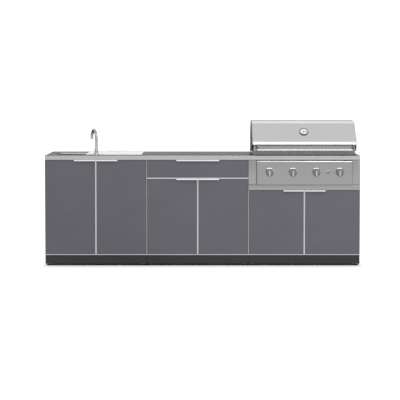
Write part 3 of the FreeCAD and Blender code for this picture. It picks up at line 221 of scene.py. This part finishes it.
# The gauge's chrome case drawn as dark metal: painted shade for the dark rim that chrome shows by
# mirroring its surroundings.
gauge_case_painted_dark = polished_metal("gauge case plate", "5a5a5d", "646467", (0.12, 0.20), 12.0)
buffed_steel = polished_metal("buffed knob metal", "b6b6b8", "c0c0c2", (0.14, 0.22), 12.0)
dished_steel = polished_metal("spun knob face", "77777a", "828285", (0.24, 0.32), 6.0)
# Near-black with a dark edge tint: the end castings' own dark colour, which on their outer sides also
# stands in for shade (painted shade).
end_casting_painted_shade = cast_surface("dark end casting", "1c1c1e", "242426", 0.0, (0.6, 0.7), edge="3c3c3e")
grate_iron = cast_surface("enamelled cast iron", "1b1b1c", "272728", 0.0, (0.35, 0.55), 3.0, 0.2)
firebox_sheet = cast_surface("heat browned sheet", "6f6e6d", "7b7a79", 1.0, (0.34, 0.5), 6.0, 0.05)
valve_brass = polished_metal("machined brass", "b08d4c", "c6a563", (0.22, 0.34), 8.0)
zinc_plate = polished_metal("zinc plate", "9a9da0", "b4b7ba", (0.30, 0.42), 10.0)
board_plastic = moulded_plastic("white board polyethylene", "f8f8f6", "fcfcfa", (0.38, 0.5))
black_rubber = moulded_plastic("black foot rubber", "161616", "1f1f20", (0.6, 0.75))
dial_white = moulded_plastic("white dial lacquer", "ecebe8", "f3f2ef", (0.3, 0.4))
dial_red = moulded_plastic("red dial print", "b8434a", "c64f55", (0.35, 0.45))
dial_black = moulded_plastic("black dial print", "151515", "1c1c1c", (0.35, 0.45))

finish = {
    "sink_deck": worktop_steel, "bar_deck": worktop_steel, "grill_deck": worktop_steel,
    "sink_cabinet_sides": slate_paint, "bar_cabinet_sides": slate_paint,
    "grill_cabinet_sides": slate_paint, "cabinet_floors": edge_steel, "cabinet_backs": case_paint,
    "cabinet_rails": trim_steel, "plinth_frames": charcoal_paint, "levelling_feet": black_rubber,
    "door_pivots": zinc_plate, "drawer_front": slate_paint, "drawer_pull": trim_steel,
    "drawer_box": inner_steel, "drawer_fixed_slides": zinc_plate, "drawer_middle_slides": zinc_plate,
    "sink_bowl": basin_steel, "sink_drain": chrome, "sink_strainer": chrome, "sink_board": board_plastic,
    "faucet_body": chrome_with_painted_shade, "faucet_spout": chrome_with_painted_shade, "faucet_lever": chrome_with_painted_shade,
    "grill_frame": front_steel,
    "control_panel": front_steel, "knob_bezels": buffed_steel, "igniter_button": buffed_steel,
    "gas_valves": valve_brass, "gas_manifold": zinc_plate, "firebox": firebox_sheet,
    "burners": inner_steel, "flame_tamers": firebox_sheet, "cooking_grates": grate_iron,
    "warming_rack": inner_steel, "hood_shell": hood_steel, "hood_end_caps": end_casting_painted_shade,
    "hood_handle": handle_steel, "hood_gauge": gauge_case_painted_dark, "grease_tray": inner_steel,
}
for cabinet in ("sink", "bar", "grill"):
    for side in ("left", "right"):
        finish[f"{cabinet}_{side}_door"] = slate_paint
        finish[f"{cabinet}_{side}_pull"] = trim_steel
for n in range(1, 5):
    finish[f"valve_plunger_{n}"] = zinc_plate
    finish[f"knob_{n}"] = buffed_steel


def dress(piece, material):
    if not piece.material_slots:
        piece.data.materials.append(material)
    for slot in piece.material_slots:
        slot.material = material


for name, material in finish.items():
    dress(nodes[name], material)


# Modelling helpers

def only(piece):
    """Makes one object the selected and active one."""
    bpy.ops.object.select_all(action="DESELECT")
    piece.select_set(True)
    bpy.context.view_layer.objects.active = piece


def named(name):
    """Names the object that was added last."""
    piece = bpy.context.active_object
    piece.name = name
    piece.data.name = name
    only(piece)
    return piece


def edit():
    bpy.ops.object.mode_set(mode="EDIT")


def done():
    bpy.ops.object.mode_set(mode="OBJECT")


def pick(piece, kind, test):
    """In edit mode, selects only the vertices, edges or faces whose middle passes the test."""
    bpy.ops.mesh.select_mode(type=kind)
    bpy.ops.mesh.select_all(action="DESELECT")
    mesh = bmesh.from_edit_mesh(piece.data)
    if kind == "VERT":
        for v in mesh.verts:
            v.select = bool(test(v.co))
    elif kind == "EDGE":
        for e in mesh.edges:
            e.select = bool(test((e.verts[0].co + e.verts[1].co) / 2))
    else:
        for f in mesh.faces:
            f.select = bool(test(f.calc_center_median()))
    mesh.select_flush_mode()
    bmesh.update_edit_mesh(piece.data)


def settle(piece, place=(0, 0, 0), lean=(0, 0, 0)):
    """Puts a piece in its place and leaves its object at the origin, unturned and unscaled."""
    if bpy.context.mode != "OBJECT":
        done()
    only(piece)
    piece.rotation_euler = lean
    piece.location = place
    bpy.ops.object.transform_apply(location=True, rotation=True, scale=True)


def rounded(piece, width, segments=2, limit=30):
    """Rounds a piece's edges by width millimetres."""
    only(piece)
    bevel = piece.modifiers.new("edges", "BEVEL")
    bevel.width = width * MM
    bevel.segments = segments
    bevel.limit_method = "ANGLE"
    bevel.angle_limit = math.radians(limit)
    bevel.harden_normals = False
    bpy.ops.object.modifier_apply(modifier=bevel.name)


def smooth(piece, limit=35):
    only(piece)
    bpy.ops.object.shade_smooth_by_angle(angle=math.radians(limit))


def finished(piece, body, material, slot, *replaced):
    """Gives a piece its finish, its body and the nodes that it stands for."""
    dress(piece, material)
    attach(piece, body)
    if replaced:
        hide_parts(*replaced)
    return piece


def turned_piece(name, rings, sides=48, hollow=False):
    """A round piece drawn up ring by ring; rings are (radius, height) in millimetres."""
    first, low = rings[0]
    fill = "NOTHING" if hollow else "NGON"
    bpy.ops.mesh.primitive_circle_add(vertices=sides, radius=first * MM, fill_type=fill)
    piece = named(name)
    edit()
    bpy.ops.mesh.select_all(action="SELECT")
    bpy.ops.transform.translate(value=(0, 0, low * MM))
    radius, height = first, low
    for r, h in rings[1:]:
        bpy.ops.mesh.extrude_region_move(TRANSFORM_OT_translate={"value": (0, 0, (h - height) * MM)})
        k = r / radius
        bpy.ops.transform.resize(value=(k, k, 1), center_override=(0, 0, 0))
        radius, height = r, h
    if hollow:
        bpy.ops.mesh.select_mode(type="EDGE")
        bpy.ops.mesh.select_all(action="DESELECT")
        mesh = bmesh.from_edit_mesh(piece.data)
        for e in mesh.edges:
            e.select = e.is_boundary
        mesh.select_flush_mode()
        bmesh.update_edit_mesh(piece.data)
        bpy.ops.mesh.bridge_edge_loops()
    bpy.ops.mesh.select_all(action="SELECT")
    bpy.ops.mesh.normals_make_consistent(inside=False)
    done()
    return piece


def bar_piece(name, low, high):
    """A block between two corners in millimetres, ready to be shaped."""
    size = [(b - a) * MM for a, b in zip(low, high)]
    middle = [(a + b) / 2 * MM for a, b in zip(low, high)]
    bpy.ops.mesh.primitive_cube_add(size=1, location=middle)
    piece = named(name)
    piece.scale = size
    bpy.ops.object.transform_apply(location=True, rotation=True, scale=True)
    return piece


def joined(name, pieces):
    bpy.ops.object.select_all(action="DESELECT")
    for piece in pieces:
        piece.select_set(True)
    bpy.context.view_layer.objects.active = pieces[0]
    bpy.ops.object.join()
    return named(name)


def fair_copy(node, name, material, slot, bevel=0.0, limit=35):
    """Replaces a CAD node by a merged copy of its mesh with smooth curves and softened edges."""
    piece = bpy.data.objects.new(name, nodes[node].data.copy())
    bpy.context.collection.objects.link(piece)
    only(piece)
    edit()
    bpy.ops.mesh.select_all(action="SELECT")
    bpy.ops.mesh.remove_doubles(threshold=0.01 * MM)
    bpy.ops.mesh.dissolve_limited(angle_limit=math.radians(0.5))
    done()
    if bevel:
        rounded(piece, bevel)
    smooth(piece, limit)
    return finished(piece, body_of_node[node], material, slot, node)


def coated(piece, material, test):
    """Gives the faces whose middle, in millimetres, and normal pass the test a second finish."""
    piece.data.materials.append(material)
    second = len(piece.data.materials) - 1
    for face in piece.data.polygons:
        if test(face.center / MM, face.normal):
            face.material_index = second


# Pieces of this island; lengths are in millimetres, as in the part's source

LEFT_END, SINK_BAR_JOINT, BAR_GRILL_JOINT, RIGHT_END = -1257.3, -444.5, 368.3, 1257.3
GRILL_MIDDLE = 812.8
WORKTOP_FRONT = -278.8
DOOR_FACE = -272.9
PANEL_FACE = -292.8
BACK_FACE = 320.8
KNOB_Z = 748.0
KNOB_X = [533.8, 719.8, 905.8, 1091.8]
IGNITER_X = 998.8
FAUCET = (-850.9, -212.8, 882.0)
GAUGE_SEAT = (GRILL_MIDDLE, -195.96, 1067.76)
GAUGE_LEAN = (math.atan2(0.7022, 0.7120), 0, 0)
CABINETS = {  # left edge, right edge and top of the doors
    "sink": (LEFT_END, SINK_BAR_JOINT, 846.0),
    "bar": (SINK_BAR_JOINT, BAR_GRILL_JOINT, 696.0),
    "grill": (BAR_GRILL_JOINT, RIGHT_END, 604.0),
}
FORWARD = (math.pi / 2, 0, 0)  # turns a piece that was drawn upwards to face the front
BACKWARD = (-math.pi / 2, 0, 0)


def scaled(place):
    return [v * MM for v in place]


def narrowed(piece, above, factors):
    """Narrows the end of a piece above a height, about the upright axis."""
    edit()
    pick(piece, "VERT", lambda p: p.z > above * MM)
    bpy.ops.transform.resize(value=(*factors, 1), center_override=(0, 0, 0))
    done()


def knob_pieces(n, x):
    """A spun disc with a dished face, a waisted grip across it, a pointer line and a shaft."""
    place = scaled((x, PANEL_FACE - 5, KNOB_Z))
    body = f"burner_knob_{n}"
    disc = turned_piece(
        f"knob_{n}_disc",
        [(25, 0), (28.4, 0.2), (28.9, 1.0), (28.5, 6.5), (27.9, 9.4), (27.0, 10.6), (25.8, 10.9),
         (24.6, 10.5), (23.4, 9.2), (14, 8.4), (5, 8.2)],
    )
    smooth(disc, 40)
    settle(disc, place, FORWARD)
    finished(disc, body, dished_steel, "knob_metal", f"knob_{n}")
    grip = bar_piece(f"knob_{n}_grip", (-5.9, -25.8, 8.1), (5.9, 25.8, 32.5))
    edit()
    pick(grip, "EDGE", lambda p: abs(abs(p.x) - 5.9 * MM) < 1e-6 and abs(abs(p.y) - 25.8 * MM) < 1e-6)
    bpy.ops.mesh.bevel(offset=4.8 * MM, segments=5, affect="EDGES")
    done()
    narrowed(grip, 20, (0.84, 0.95))
    rounded(grip, 1.2, 3, 50)
    smooth(grip, 35)
    settle(grip, place, FORWARD)
    finished(grip, body, buffed_steel, "knob_metal")
    line = bar_piece(f"knob_{n}_pointer", (-0.9, 11, 32.2), (0.9, 23.0, 32.75))
    rounded(line, 0.2, 1)
    settle(line, place, FORWARD)
    finished(line, body, dial_black, "knob_metal")
    stem = turned_piece(f"knob_{n}_shaft", [(3.4, -23.9), (3.95, -23.3), (3.95, 0.1)], 24)
    smooth(stem)
    settle(stem, place, FORWARD)
    finished(stem, body, buffed_steel, "knob_metal")


def bezel_rings():
    """A polished rolled ring round each knob and a small one round the igniter button, drawn in a darker
    plate as painted shade.
    """
    profile = [
        (38.9, 0.0), (38.8, 2.3), (38.2, 3.1), (32.8, 6.3), (32.2, 6.6), (31.7, 6.2), (31.4, 4.8),
        (31.3, 3.0), (31.3, 0.0),
    ]
    rings = [(f"knob_bezel_{n}", x, profile) for n, x in enumerate(KNOB_X, 1)]
    small = [(15.9, 0.0), (15.8, 1.2), (15.4, 1.7), (12.2, 3.6), (11.7, 3.7), (11.3, 2.8), (11.3, 0.0)]
    rings.append(("igniter_bezel", IGNITER_X, small))
    for name, x, outline in rings:
        ring = turned_piece(name, outline, 64, True)
        smooth(ring, 14)
        settle(ring, scaled((x, PANEL_FACE, KNOB_Z)), FORWARD)
        finished(ring, "cabinets", bezel_plate_painted_dark, "trim_steel", "knob_bezels")


def igniter_piece():
    rings = [
        (12.6, -9), (12.9, -8.8), (12.9, -7.2), (10.9, -7.0), (10.9, 7.4), (10.3, 8.6), (9.2, 8.9),
        (8.0, 8.2), (4, 7.6),
    ]
    button = turned_piece("igniter_push_button", rings, 40)
    smooth(button, 40)
    settle(button, scaled((IGNITER_X, PANEL_FACE, KNOB_Z)), FORWARD)
    finished(button, "igniter", dished_steel, "knob_metal", "igniter_button")


def arc_piece(name, inner, outer, low, high, start, end):
    """Part of a flat ring between two angles in degrees, spun from its end face."""
    bpy.ops.mesh.primitive_plane_add(size=1)
    piece = named(name)
    edit()
    bpy.ops.mesh.select_all(action="SELECT")
    bpy.ops.transform.rotate(value=math.pi / 2, orient_axis="X", center_override=(0, 0, 0))
    bpy.ops.transform.resize(
        value=((outer - inner) * MM, 1, (high - low) * MM), center_override=(0, 0, 0)
    )
    bpy.ops.transform.translate(value=((inner + outer) / 2 * MM, 0, (low + high) / 2 * MM))
    bpy.ops.mesh.spin(steps=24, angle=math.radians(end - start), center=(0, 0, 0), axis=(0, 0, 1))
    bpy.ops.mesh.select_all(action="SELECT")
    bpy.ops.mesh.remove_doubles(threshold=0.001 * MM)
    bpy.ops.mesh.normals_make_consistent(inside=False)
    done()
    settle(piece, (0, 0, 0), (0, 0, math.radians(start)))
    return piece


def on_dial(piece, material, *replaced):
    settle(piece, scaled(GAUGE_SEAT), GAUGE_LEAN)
    finished(piece, "hood", material, "gauge_case", *replaced)


def gauge_pieces():
    """A turned case, a white dial with a scale and a red zone, a pointer and its cap."""
    case = turned_piece(
        "gauge_housing",
        [(33, 0.05), (35.3, 0.1), (35.8, 1.2), (35.9, 5.5), (35.4, 7.6), (34.4, 8.6), (33.4, 8.8),
         (32.6, 8.3), (32.1, 7.2), (31.9, 6.0)],
        72,
    )
    smooth(case, 45)
    on_dial(case, gauge_case_painted_dark, "hood_gauge")
    on_dial(turned_piece("gauge_dial", [(31.8, 6.0), (31.8, 6.3), (31.4, 6.5)], 72), dial_white)
    rim_rings = [(31.7, 6.45), (31.7, 6.9), (30.2, 6.9), (30.2, 6.45)]
    rim = turned_piece("gauge_rim_line", rim_rings, 72, True)
    on_dial(rim, dial_black)
    marks = []
    for k in range(13):
        deep = 6.0 if k % 3 == 0 else 3.4
        mark = bar_piece("mark", (28.4 - deep, -0.6, 6.45), (28.4, 0.6, 6.7))
        settle(mark, (0, 0, 0), (0, 0, math.radians(225 - 22.5 * k)))
        marks.append(mark)
    on_dial(joined("gauge_scale", marks), dial_black)
    on_dial(arc_piece("gauge_red_zone", 15.5, 20.5, 6.45, 6.7, 10, 70), dial_red)
    pointer = bar_piece("gauge_pointer", (-6.5, -1.0, 7.2), (25.5, 1.0, 7.7))
    edit()
    pick(pointer, "VERT", lambda p: p.x > 0)
    bpy.ops.transform.resize(value=(1, 0.35, 1), center_override=(0, 0, 0))
    done()
    settle(pointer, (0, 0, 0), (0, 0, math.radians(-112)))
    on_dial(pointer, dial_black)
    hub = turned_piece("gauge_pointer_cap", [(3.6, 6.45), (3.6, 8.0), (3.0, 8.6), (1.5, 8.8)], 32)
    smooth(hub, 45)
    on_dial(hub, dial_black)


def faucet_pieces():
    """A bell-shaped body with its shank and nut, a bent spout with an aerator, and a lever."""
    body = turned_piece(
        "faucet_bell_body",
        [(10.2, -41.9), (10.9, -41.2), (10.9, 0.02), (19.4, 0.05), (19.9, 0.6), (19.9, 2.6), (19.3, 3.6),
         (18.2, 6.0), (16.9, 11), (15.9, 17), (15.2, 25), (14.9, 31), (14.9, 48.6), (14.3, 49.6),
         (13.4, 49.9)],
        56,
    )
    smooth(body, 40)
    settle(body, scaled(FAUCET))
    finished(body, "cabinets", chrome_with_painted_shade, "chrome", "faucet_body")
    nut = turned_piece("faucet_nut", [(17.4, -10.9), (19.2, -10.0), (19.2, -3.0), (17.4, -2.1)], 6)
    settle(nut, scaled(FAUCET))
    finished(nut, "cabinets", zinc_plate, "chrome")
    pivot = scaled((FAUCET[0], FAUCET[1], FAUCET[2] + 36))
    pin = turned_piece("faucet_spindle", [(4.9, 14.5), (4.9, 25.7)], 24)
    smooth(pin)
    settle(pin, pivot, BACKWARD)
    finished(pin, "cabinets", chrome_with_painted_shade, "chrome")
    spout = turned_piece("faucet_bent_spout", [(11.2, 50.35), (11.9, 50.9), (11.9, 134)], 40)
    edit()
    pick(spout, "FACE", lambda p: p.z > 133.99 * MM)
    bpy.ops.mesh.spin(
        steps=28, angle=math.pi, center=(0, 62 * MM, 134 * MM), axis=(1, 0, 0)
    )
    radius, depth = 11.9, 0.0
    for r, d in ((12.9, 0.5), (12.9, 7.6), (12.2, 8.8), (9.4, 8.8), (8.7, 8.2), (8.7, 2.0)):
        bpy.ops.mesh.extrude_region_move(TRANSFORM_OT_translate={"value": (0, 0, (depth - d) * MM)})
        k = r / radius
        bpy.ops.transform.resize(value=(k, k, 1), center_override=(0, 124 * MM, 0))
        radius, depth = r, d
    bpy.ops.mesh.select_all(action="SELECT")
    bpy.ops.mesh.remove_doubles(threshold=0.001 * MM)
    bpy.ops.mesh.normals_make_consistent(inside=False)
    done()
    smooth(spout, 40)
    settle(spout, scaled(FAUCET), (0, 0, math.radians(21)))
    finished(spout, "spout", chrome_with_painted_shade, "chrome", "faucet_spout")
    hub_rings = [(7.6, 15.35), (8.4, 16.0), (8.4, 26.2), (7.6, 27.1), (5.2, 27.28)]
    hub = turned_piece("lever_hub", hub_rings, 40)
    smooth(hub, 40)
    settle(hub, pivot, BACKWARD)
    finished(hub, "lever", chrome_with_painted_shade, "chrome", "faucet_lever")
    arm = bar_piece("lever_arm", (-4.9, -4.9, 2), (4.9, 4.9, 57.8))
    narrowed(arm, 30, (0.7, 0.7))
    rounded(arm, 2.2, 4, 30)
    smooth(arm, 40)
    settle(arm, scaled((FAUCET[0], FAUCET[1] + 21.3, FAUCET[2] + 36)))
    finished(arm, "lever", chrome_with_painted_shade, "chrome")


def door_edge_strips():
    """A bright angle on each door's edge where the pair meets."""
    for cabinet, (x0, x1, top) in CABINETS.items():
        middle = (x0 + x1) / 2
        for side, way in (("left", -1), ("right", 1)):
            edge = middle + 2 * way
            strips = []
            for reach, y0, y1 in ((1.6, -274.4, -252.9), (-3.0, -274.4, DOOR_FACE)):
                xs = sorted((edge - way * reach, edge))
                if reach < 0:
                    xs = sorted((edge, edge + way * -reach))
                strips.append(bar_piece("strip", (xs[0], y0, 94.5), (xs[1], y1, top - 0.5)))
            strip = joined(f"{cabinet}_{side}_meeting_strip", strips)
            finished(strip, f"{cabinet}_{side}", edge_steel, "trim_steel")


def seam_strips():
    """A fin that closes the joint between neighbouring cabinets, and half a one at each end."""
    for name, x, left, right, top in (
        ("left_end", -1256.5, 0.6, 2.0, 845.0), ("sink_bar", SINK_BAR_JOINT, 2.2, 2.2, 845.0),
        ("bar_grill", BAR_GRILL_JOINT, 2.2, 2.2, 604.0), ("right_end", 1256.5, 2.0, 0.6, 604.0),
    ):
        stem = bar_piece("stem", (x - 0.6, DOOR_FACE, 93), (x + 0.6, -249.2, top))
        cap = bar_piece("cap", (x - left, -273.6, 94), (x + right, DOOR_FACE, top))
        fin = joined(f"{name}_seam_strip", [stem, cap])
        finished(fin, "cabinets", seam_steel, "trim_steel")
    filler = bar_piece("pillar_seam_strip", (366.6, -273.6, 605), (368.3, -249.2, 845))
    finished(filler, "cabinets", seam_steel, "trim_steel")


def dark_seals():
    """Black fillers between the plinths, and a black bead on the worktop before the firebox: a painted
    shadow where the grill's front meets the worktop.
    """
    seals = [
        bar_piece("seal", (x - half, -262.0, 15.5), (x + half, -260.9, 86.5))
        for x, half in ((SINK_BAR_JOINT, 6.0), (BAR_GRILL_JOINT, 4.4))
    ]
    finished(joined("plinth_seals", seals), "cabinets", black_rubber, "black_plastic")
    # A painted shadow: a black bead where the grill's front meets the worktop.
    bead = bar_piece("worktop_shadow_bead", (409, -268.0, 884.1), (1216.6, -264.9, 888.4))
    finished(bead, "cabinets", black_rubber, "black_plastic")


def front_bars():
    """The two pillars beside the control panel and the rail under them, with open joints."""
    for name, low, high in (
        ("left_pillar", (368.5, -277.8, 651.4), (431.8, -248.8, 846.0)),
        ("right_pillar", (1193.8, -277.8, 651.4), (1257.1, -248.8, 846.0)),
        ("lower_rail", (368.5, -277.8, 607.0), (1257.1, -248.8, 649.5)),
    ):
        bar = bar_piece(name, low, high)
        rounded(bar, 1.4, 3)
        smooth(bar, 35)
        finished(bar, "cabinets", front_steel, "front_steel", "grill_frame")


def second_finishes(copies):
    """Painted highlights on the hood's nose and the panel's top edge, painted shade on the hood's skirt
    and in the sink's recess, the hood's steel on the front and top faces of its end castings, whose dark
    sides are painted shade, and case paint on the rails outside a band 690 to 712 mm high.
    """
    hood = copies["hood_shell"]
    # Painted highlight along the hood's nose.
    coated(hood, painted_highlight_steel, lambda p, n: 968.6 < p.z < 991 and p.y < -266 and n.y < -0.3)
    # Painted shade on the hood's lower face under the nose.
    coated(hood, painted_shade_skirt_steel, lambda p, n: p.z < 968.7 and p.y < -262 and n.y < 0.2 and n.z < 0.1)
    # The end castings' front and top faces take the hood's steel; their sides keep the near-black colour
    # as painted shade.
    coated(
        copies["hood_end_caps"], hood_steel,
        lambda p, n: (
            p.z > 964 and abs(p.x - GRILL_MIDDLE) < 416 and abs(n.x) < 0.6 and (n.y < -0.1 or n.z > 0.1)
        ),
    )
    # Painted highlight along the control panel's rounded top edge.
    coated(copies["control_panel"], painted_highlight_steel, lambda p, n: p.z > 831 and 0.12 < n.z and n.y < -0.05)
    coated(copies["cabinet_rails"], case_paint, lambda p, n: not 690 < p.z < 712)
    # Painted shade on the floor and walls of the sink's recess.
    coated(
        copies["sink_deck"], painted_shade_recess_steel,
        lambda p, n: p.z < 881 and -1177 < p.x < -951 and -143 < p.y < 135,
    )


def feet_pieces():
    """Round rubber pads with hexagonal screw necks."""
    pad_rings = [(21, 0), (22.4, 0.5), (22.9, 1.6), (22.9, 5.8), (21.8, 7.8), (17, 8.9)]
    neck_rings = [(8.2, 8.8), (10.2, 9.4), (10.2, 13.4), (8.8, 14.4), (6.0, 14.4), (6.0, 15.0)]
    pads, necks = [], []
    for x0, x1, _ in CABINETS.values():
        for x in (x0 + 30, x1 - 30):
            for y in (-230.8, 290.8):
                pad = turned_piece("pad", pad_rings, 36)
                smooth(pad, 45)
                settle(pad, scaled((x, y, 0)))
                pads.append(pad)
                neck = turned_piece("neck", neck_rings, 6)
                settle(neck, scaled((x, y, 0)))
                necks.append(neck)
    finished(joined("foot_pads", pads), "cabinets", black_rubber, "black_plastic", "levelling_feet")
    finished(joined("foot_screws", necks), "cabinets", zinc_plate, "black_plastic")


def back_screws():
    """Pan-head screws round each back panel."""
    screws = []
    for x0, x1, _ in CABINETS.values():
        for x in (x0 + 34, (x0 + x1) / 2, x1 - 34):
            for z in (106, 835):
                screws.append((x, z))
        for x in (x0 + 34, x1 - 34):
            screws += [(x, 346), (x, 587)]
    heads = []
    for x, z in screws:
        head = turned_piece("head", [(4.0, 0.0), (4.0, 0.7), (3.4, 1.6), (2.0, 2.0)], 20)
        smooth(head, 45)
        settle(head, scaled((x, BACK_FACE, z)), BACKWARD)
        heads.append(head)
    finished(joined("back_panel_screws", heads), "cabinets", zinc_plate, "zinc_steel")


def place_camera():
    """A long lens above the worktop, tipped down a little, with a shift that centres the view."""
    data = bpy.data.cameras.new("camera")
    camera = bpy.data.objects.new("camera", data)
    bpy.context.collection.objects.link(camera)
    distance = 10.5  # metres from the worktop's front edge
    width = 3.180  # metres that the picture is wide at that edge
    height = 1.506  # metres over the floor
    left_of_middle = 0.0199  # metres
    tilt = 2.5  # degrees below level
    camera.location = (-left_of_middle, WORKTOP_FRONT * MM - distance, height)
    camera.rotation_euler = (math.radians(90 - tilt), 0, 0)
    data.sensor_width = 36
    data.lens = data.sensor_width * distance / width
    data.shift_y = -0.16275  # of the picture's width
    data.clip_end = 200
    bpy.context.scene.camera = camera


def area_light(name, place, aim, size, radiance):
    """A soft box whose face is radiance times as bright as white."""
    data = bpy.data.lights.new(name, "AREA")
    data.shape = "RECTANGLE"
    data.size, data.size_y = size
    data.energy = radiance * math.pi * size[0] * size[1]
    lamp = bpy.data.objects.new(name, data)
    bpy.context.collection.objects.link(lamp)
    lamp.location = place
    lamp.rotation_euler = (Vector(aim) - Vector(place)).to_track_quat("-Z", "Y").to_euler()


def seen_directly(tree):
    """1 for rays from the camera, in reflections and through glass, and 0 for the others."""
    path = add_node(tree, "LightPath")
    both = add_node(
        tree, "Math", {"operation": "MAXIMUM"},
        {0: path.outputs["Is Camera Ray"], 1: path.outputs["Is Glossy Ray"]},
    )
    every = add_node(
        tree, "Math", {"operation": "MAXIMUM"},
        {0: both.outputs[0], 1: path.outputs["Is Transmission Ray"]},
    )
    return every.outputs[0]


def studio():
    world = bpy.data.worlds.new("studio")
    bpy.context.scene.world = world
    world.use_nodes = True
    tree = world.node_tree
    level = between(tree, seen_directly(tree), 0.60, 1.0, 0.0, 1.0)
    background = tree.nodes["Background"]
    background.inputs["Color"].default_value = (1, 1, 1, 1)
    tree.links.new(level, background.inputs["Strength"])
    area_light("key light", (0.8, -2.6, 4.0), (0.8, -0.2, 0.6), (5.0, 0.9), 3.1)
    area_light("fill light", (4.4, -3.9, 2.3), (0.8, -0.2, 0.5), (2.2, 1.6), 3.2)
    area_light("back light", (0.0, 2.8, 4.0), (0, 0, 0.8), (4.4, 1.6), 1.2)


def pale_floor():
    """A white floor that the camera sees as white, with the island's shadow on it."""
    bpy.ops.mesh.primitive_plane_add(size=80)
    floor = named("floor")
    material, tree, shader = new_material("white studio floor")
    shader.inputs["Base Color"].default_value = linear("f2f2f2")
    shader.inputs["Roughness"].default_value = 0.9
    glow = add_node(tree, "Emission", inputs={"Color": (1, 1, 1, 1), "Strength": 1.3})
    # The glow's share is held low close before and behind the island, so that its shadow shows there,
    # and is full beyond the island's ends, where it washes the shadow out: painted light.
    place = add_node(tree, "TexCoord").outputs["Object"]
    size = add_node(tree, "VectorMath", {"operation": "ABSOLUTE"}, {0: place}).outputs[0]
    beyond = add_node(
        tree, "VectorMath", {"operation": "SUBTRACT"}, {0: size, 1: (1.2, 0.24, 0)}
    ).outputs[0]
    outside = add_node(
        tree, "VectorMath", {"operation": "MAXIMUM"}, {0: beyond, 1: (0, 0, 0)}
    ).outputs[0]
    away = add_node(tree, "VectorMath", {"operation": "LENGTH"}, {0: outside}).outputs["Value"]
    near = between(tree, away, 0.0, 0.30, 0.0, 0.05)
    far = between(tree, away, 0.0, 0.70, 0.05, 0.30)
    ahead = add_node(tree, "Math", {"operation": "ADD"}, {0: near, 1: far}).outputs[0]
    span = add_node(tree, "SeparateXYZ", inputs={0: size}).outputs["X"]
    aside = between(tree, span, 0.0, 1.0, 1.25, 1.29)
    bright = add_node(tree, "Math", {"operation": "MAXIMUM"}, {0: ahead, 1: aside}).outputs[0]
    share = add_node(
        tree, "Math", {"operation": "MULTIPLY"}, {0: seen_directly(tree), 1: bright}
    ).outputs[0]
    mixed = add_node(
        tree, "MixShader", inputs={0: share, 1: shader.outputs[0], 2: glow.outputs[0]}
    )
    tree.links.new(mixed.outputs[0], tree.nodes["Material Output"].inputs["Surface"])
    dress(floor, material)


bpy.context.scene.view_settings.view_transform = "Standard"
place_camera()
studio()
pale_floor()

copies = {}
for node, name, material, slot, bevel in (
    ("hood_shell", "hood_sheet", hood_steel, "hood_steel", 0.0),
    ("hood_end_caps", "hood_end_castings", end_casting_painted_shade, "cast_aluminium", 0.8),
    ("hood_handle", "hood_hand_rail", handle_steel, "trim_steel", 0.0),
    ("control_panel", "control_panel_sheet", front_steel, "front_steel", 0.0),
    ("sink_deck", "sink_worktop", worktop_steel, "worktop_steel", 0.0),
    ("bar_deck", "bar_worktop", worktop_steel, "worktop_steel", 0.0),
    ("grill_deck", "grill_worktop", worktop_steel, "worktop_steel", 0.0),
    ("cabinet_rails", "cabinet_cross_rails", trim_steel, "trim_steel", 0.0),
    ("sink_bowl", "sink_basin", basin_steel, "worktop_steel", 0.0),
    ("sink_drain", "sink_waste", chrome, "chrome", 0.0),
    ("sink_strainer", "sink_basket", chrome, "chrome", 0.0),
    ("sink_board", "sink_cover_board", board_plastic, "board_white", 0.8),
    ("cooking_grates", "cast_grates", grate_iron, "cast_iron", 1.4),
    ("warming_rack", "wire_rack", inner_steel, "inner_steel", 0.8),
    ("burners", "tube_burners", inner_steel, "inner_steel", 0.0),
    ("flame_tamers", "folded_tamers", firebox_sheet, "firebox_steel", 0.0),
    ("grease_tray", "fat_tray", inner_steel, "inner_steel", 0.4),
    ("drawer_pull", "drawer_pull_strip", trim_steel, "trim_steel", 0.4),
):
    copies[node] = fair_copy(node, name, material, slot, bevel)
second_finishes(copies)
for cabinet in CABINETS:
    for side in ("left", "right"):
        word = f"{cabinet}_{side}"
        fair_copy(f"{word}_pull", f"{word}_pull_strip", trim_steel, "trim_steel", 0.4)
for n, x in enumerate(KNOB_X, 1):
    knob_pieces(n, x)
bezel_rings()
igniter_piece()
gauge_pieces()
faucet_pieces()
door_edge_strips()
seam_strips()
dark_seals()
front_bars()
feet_pieces()
back_screws()
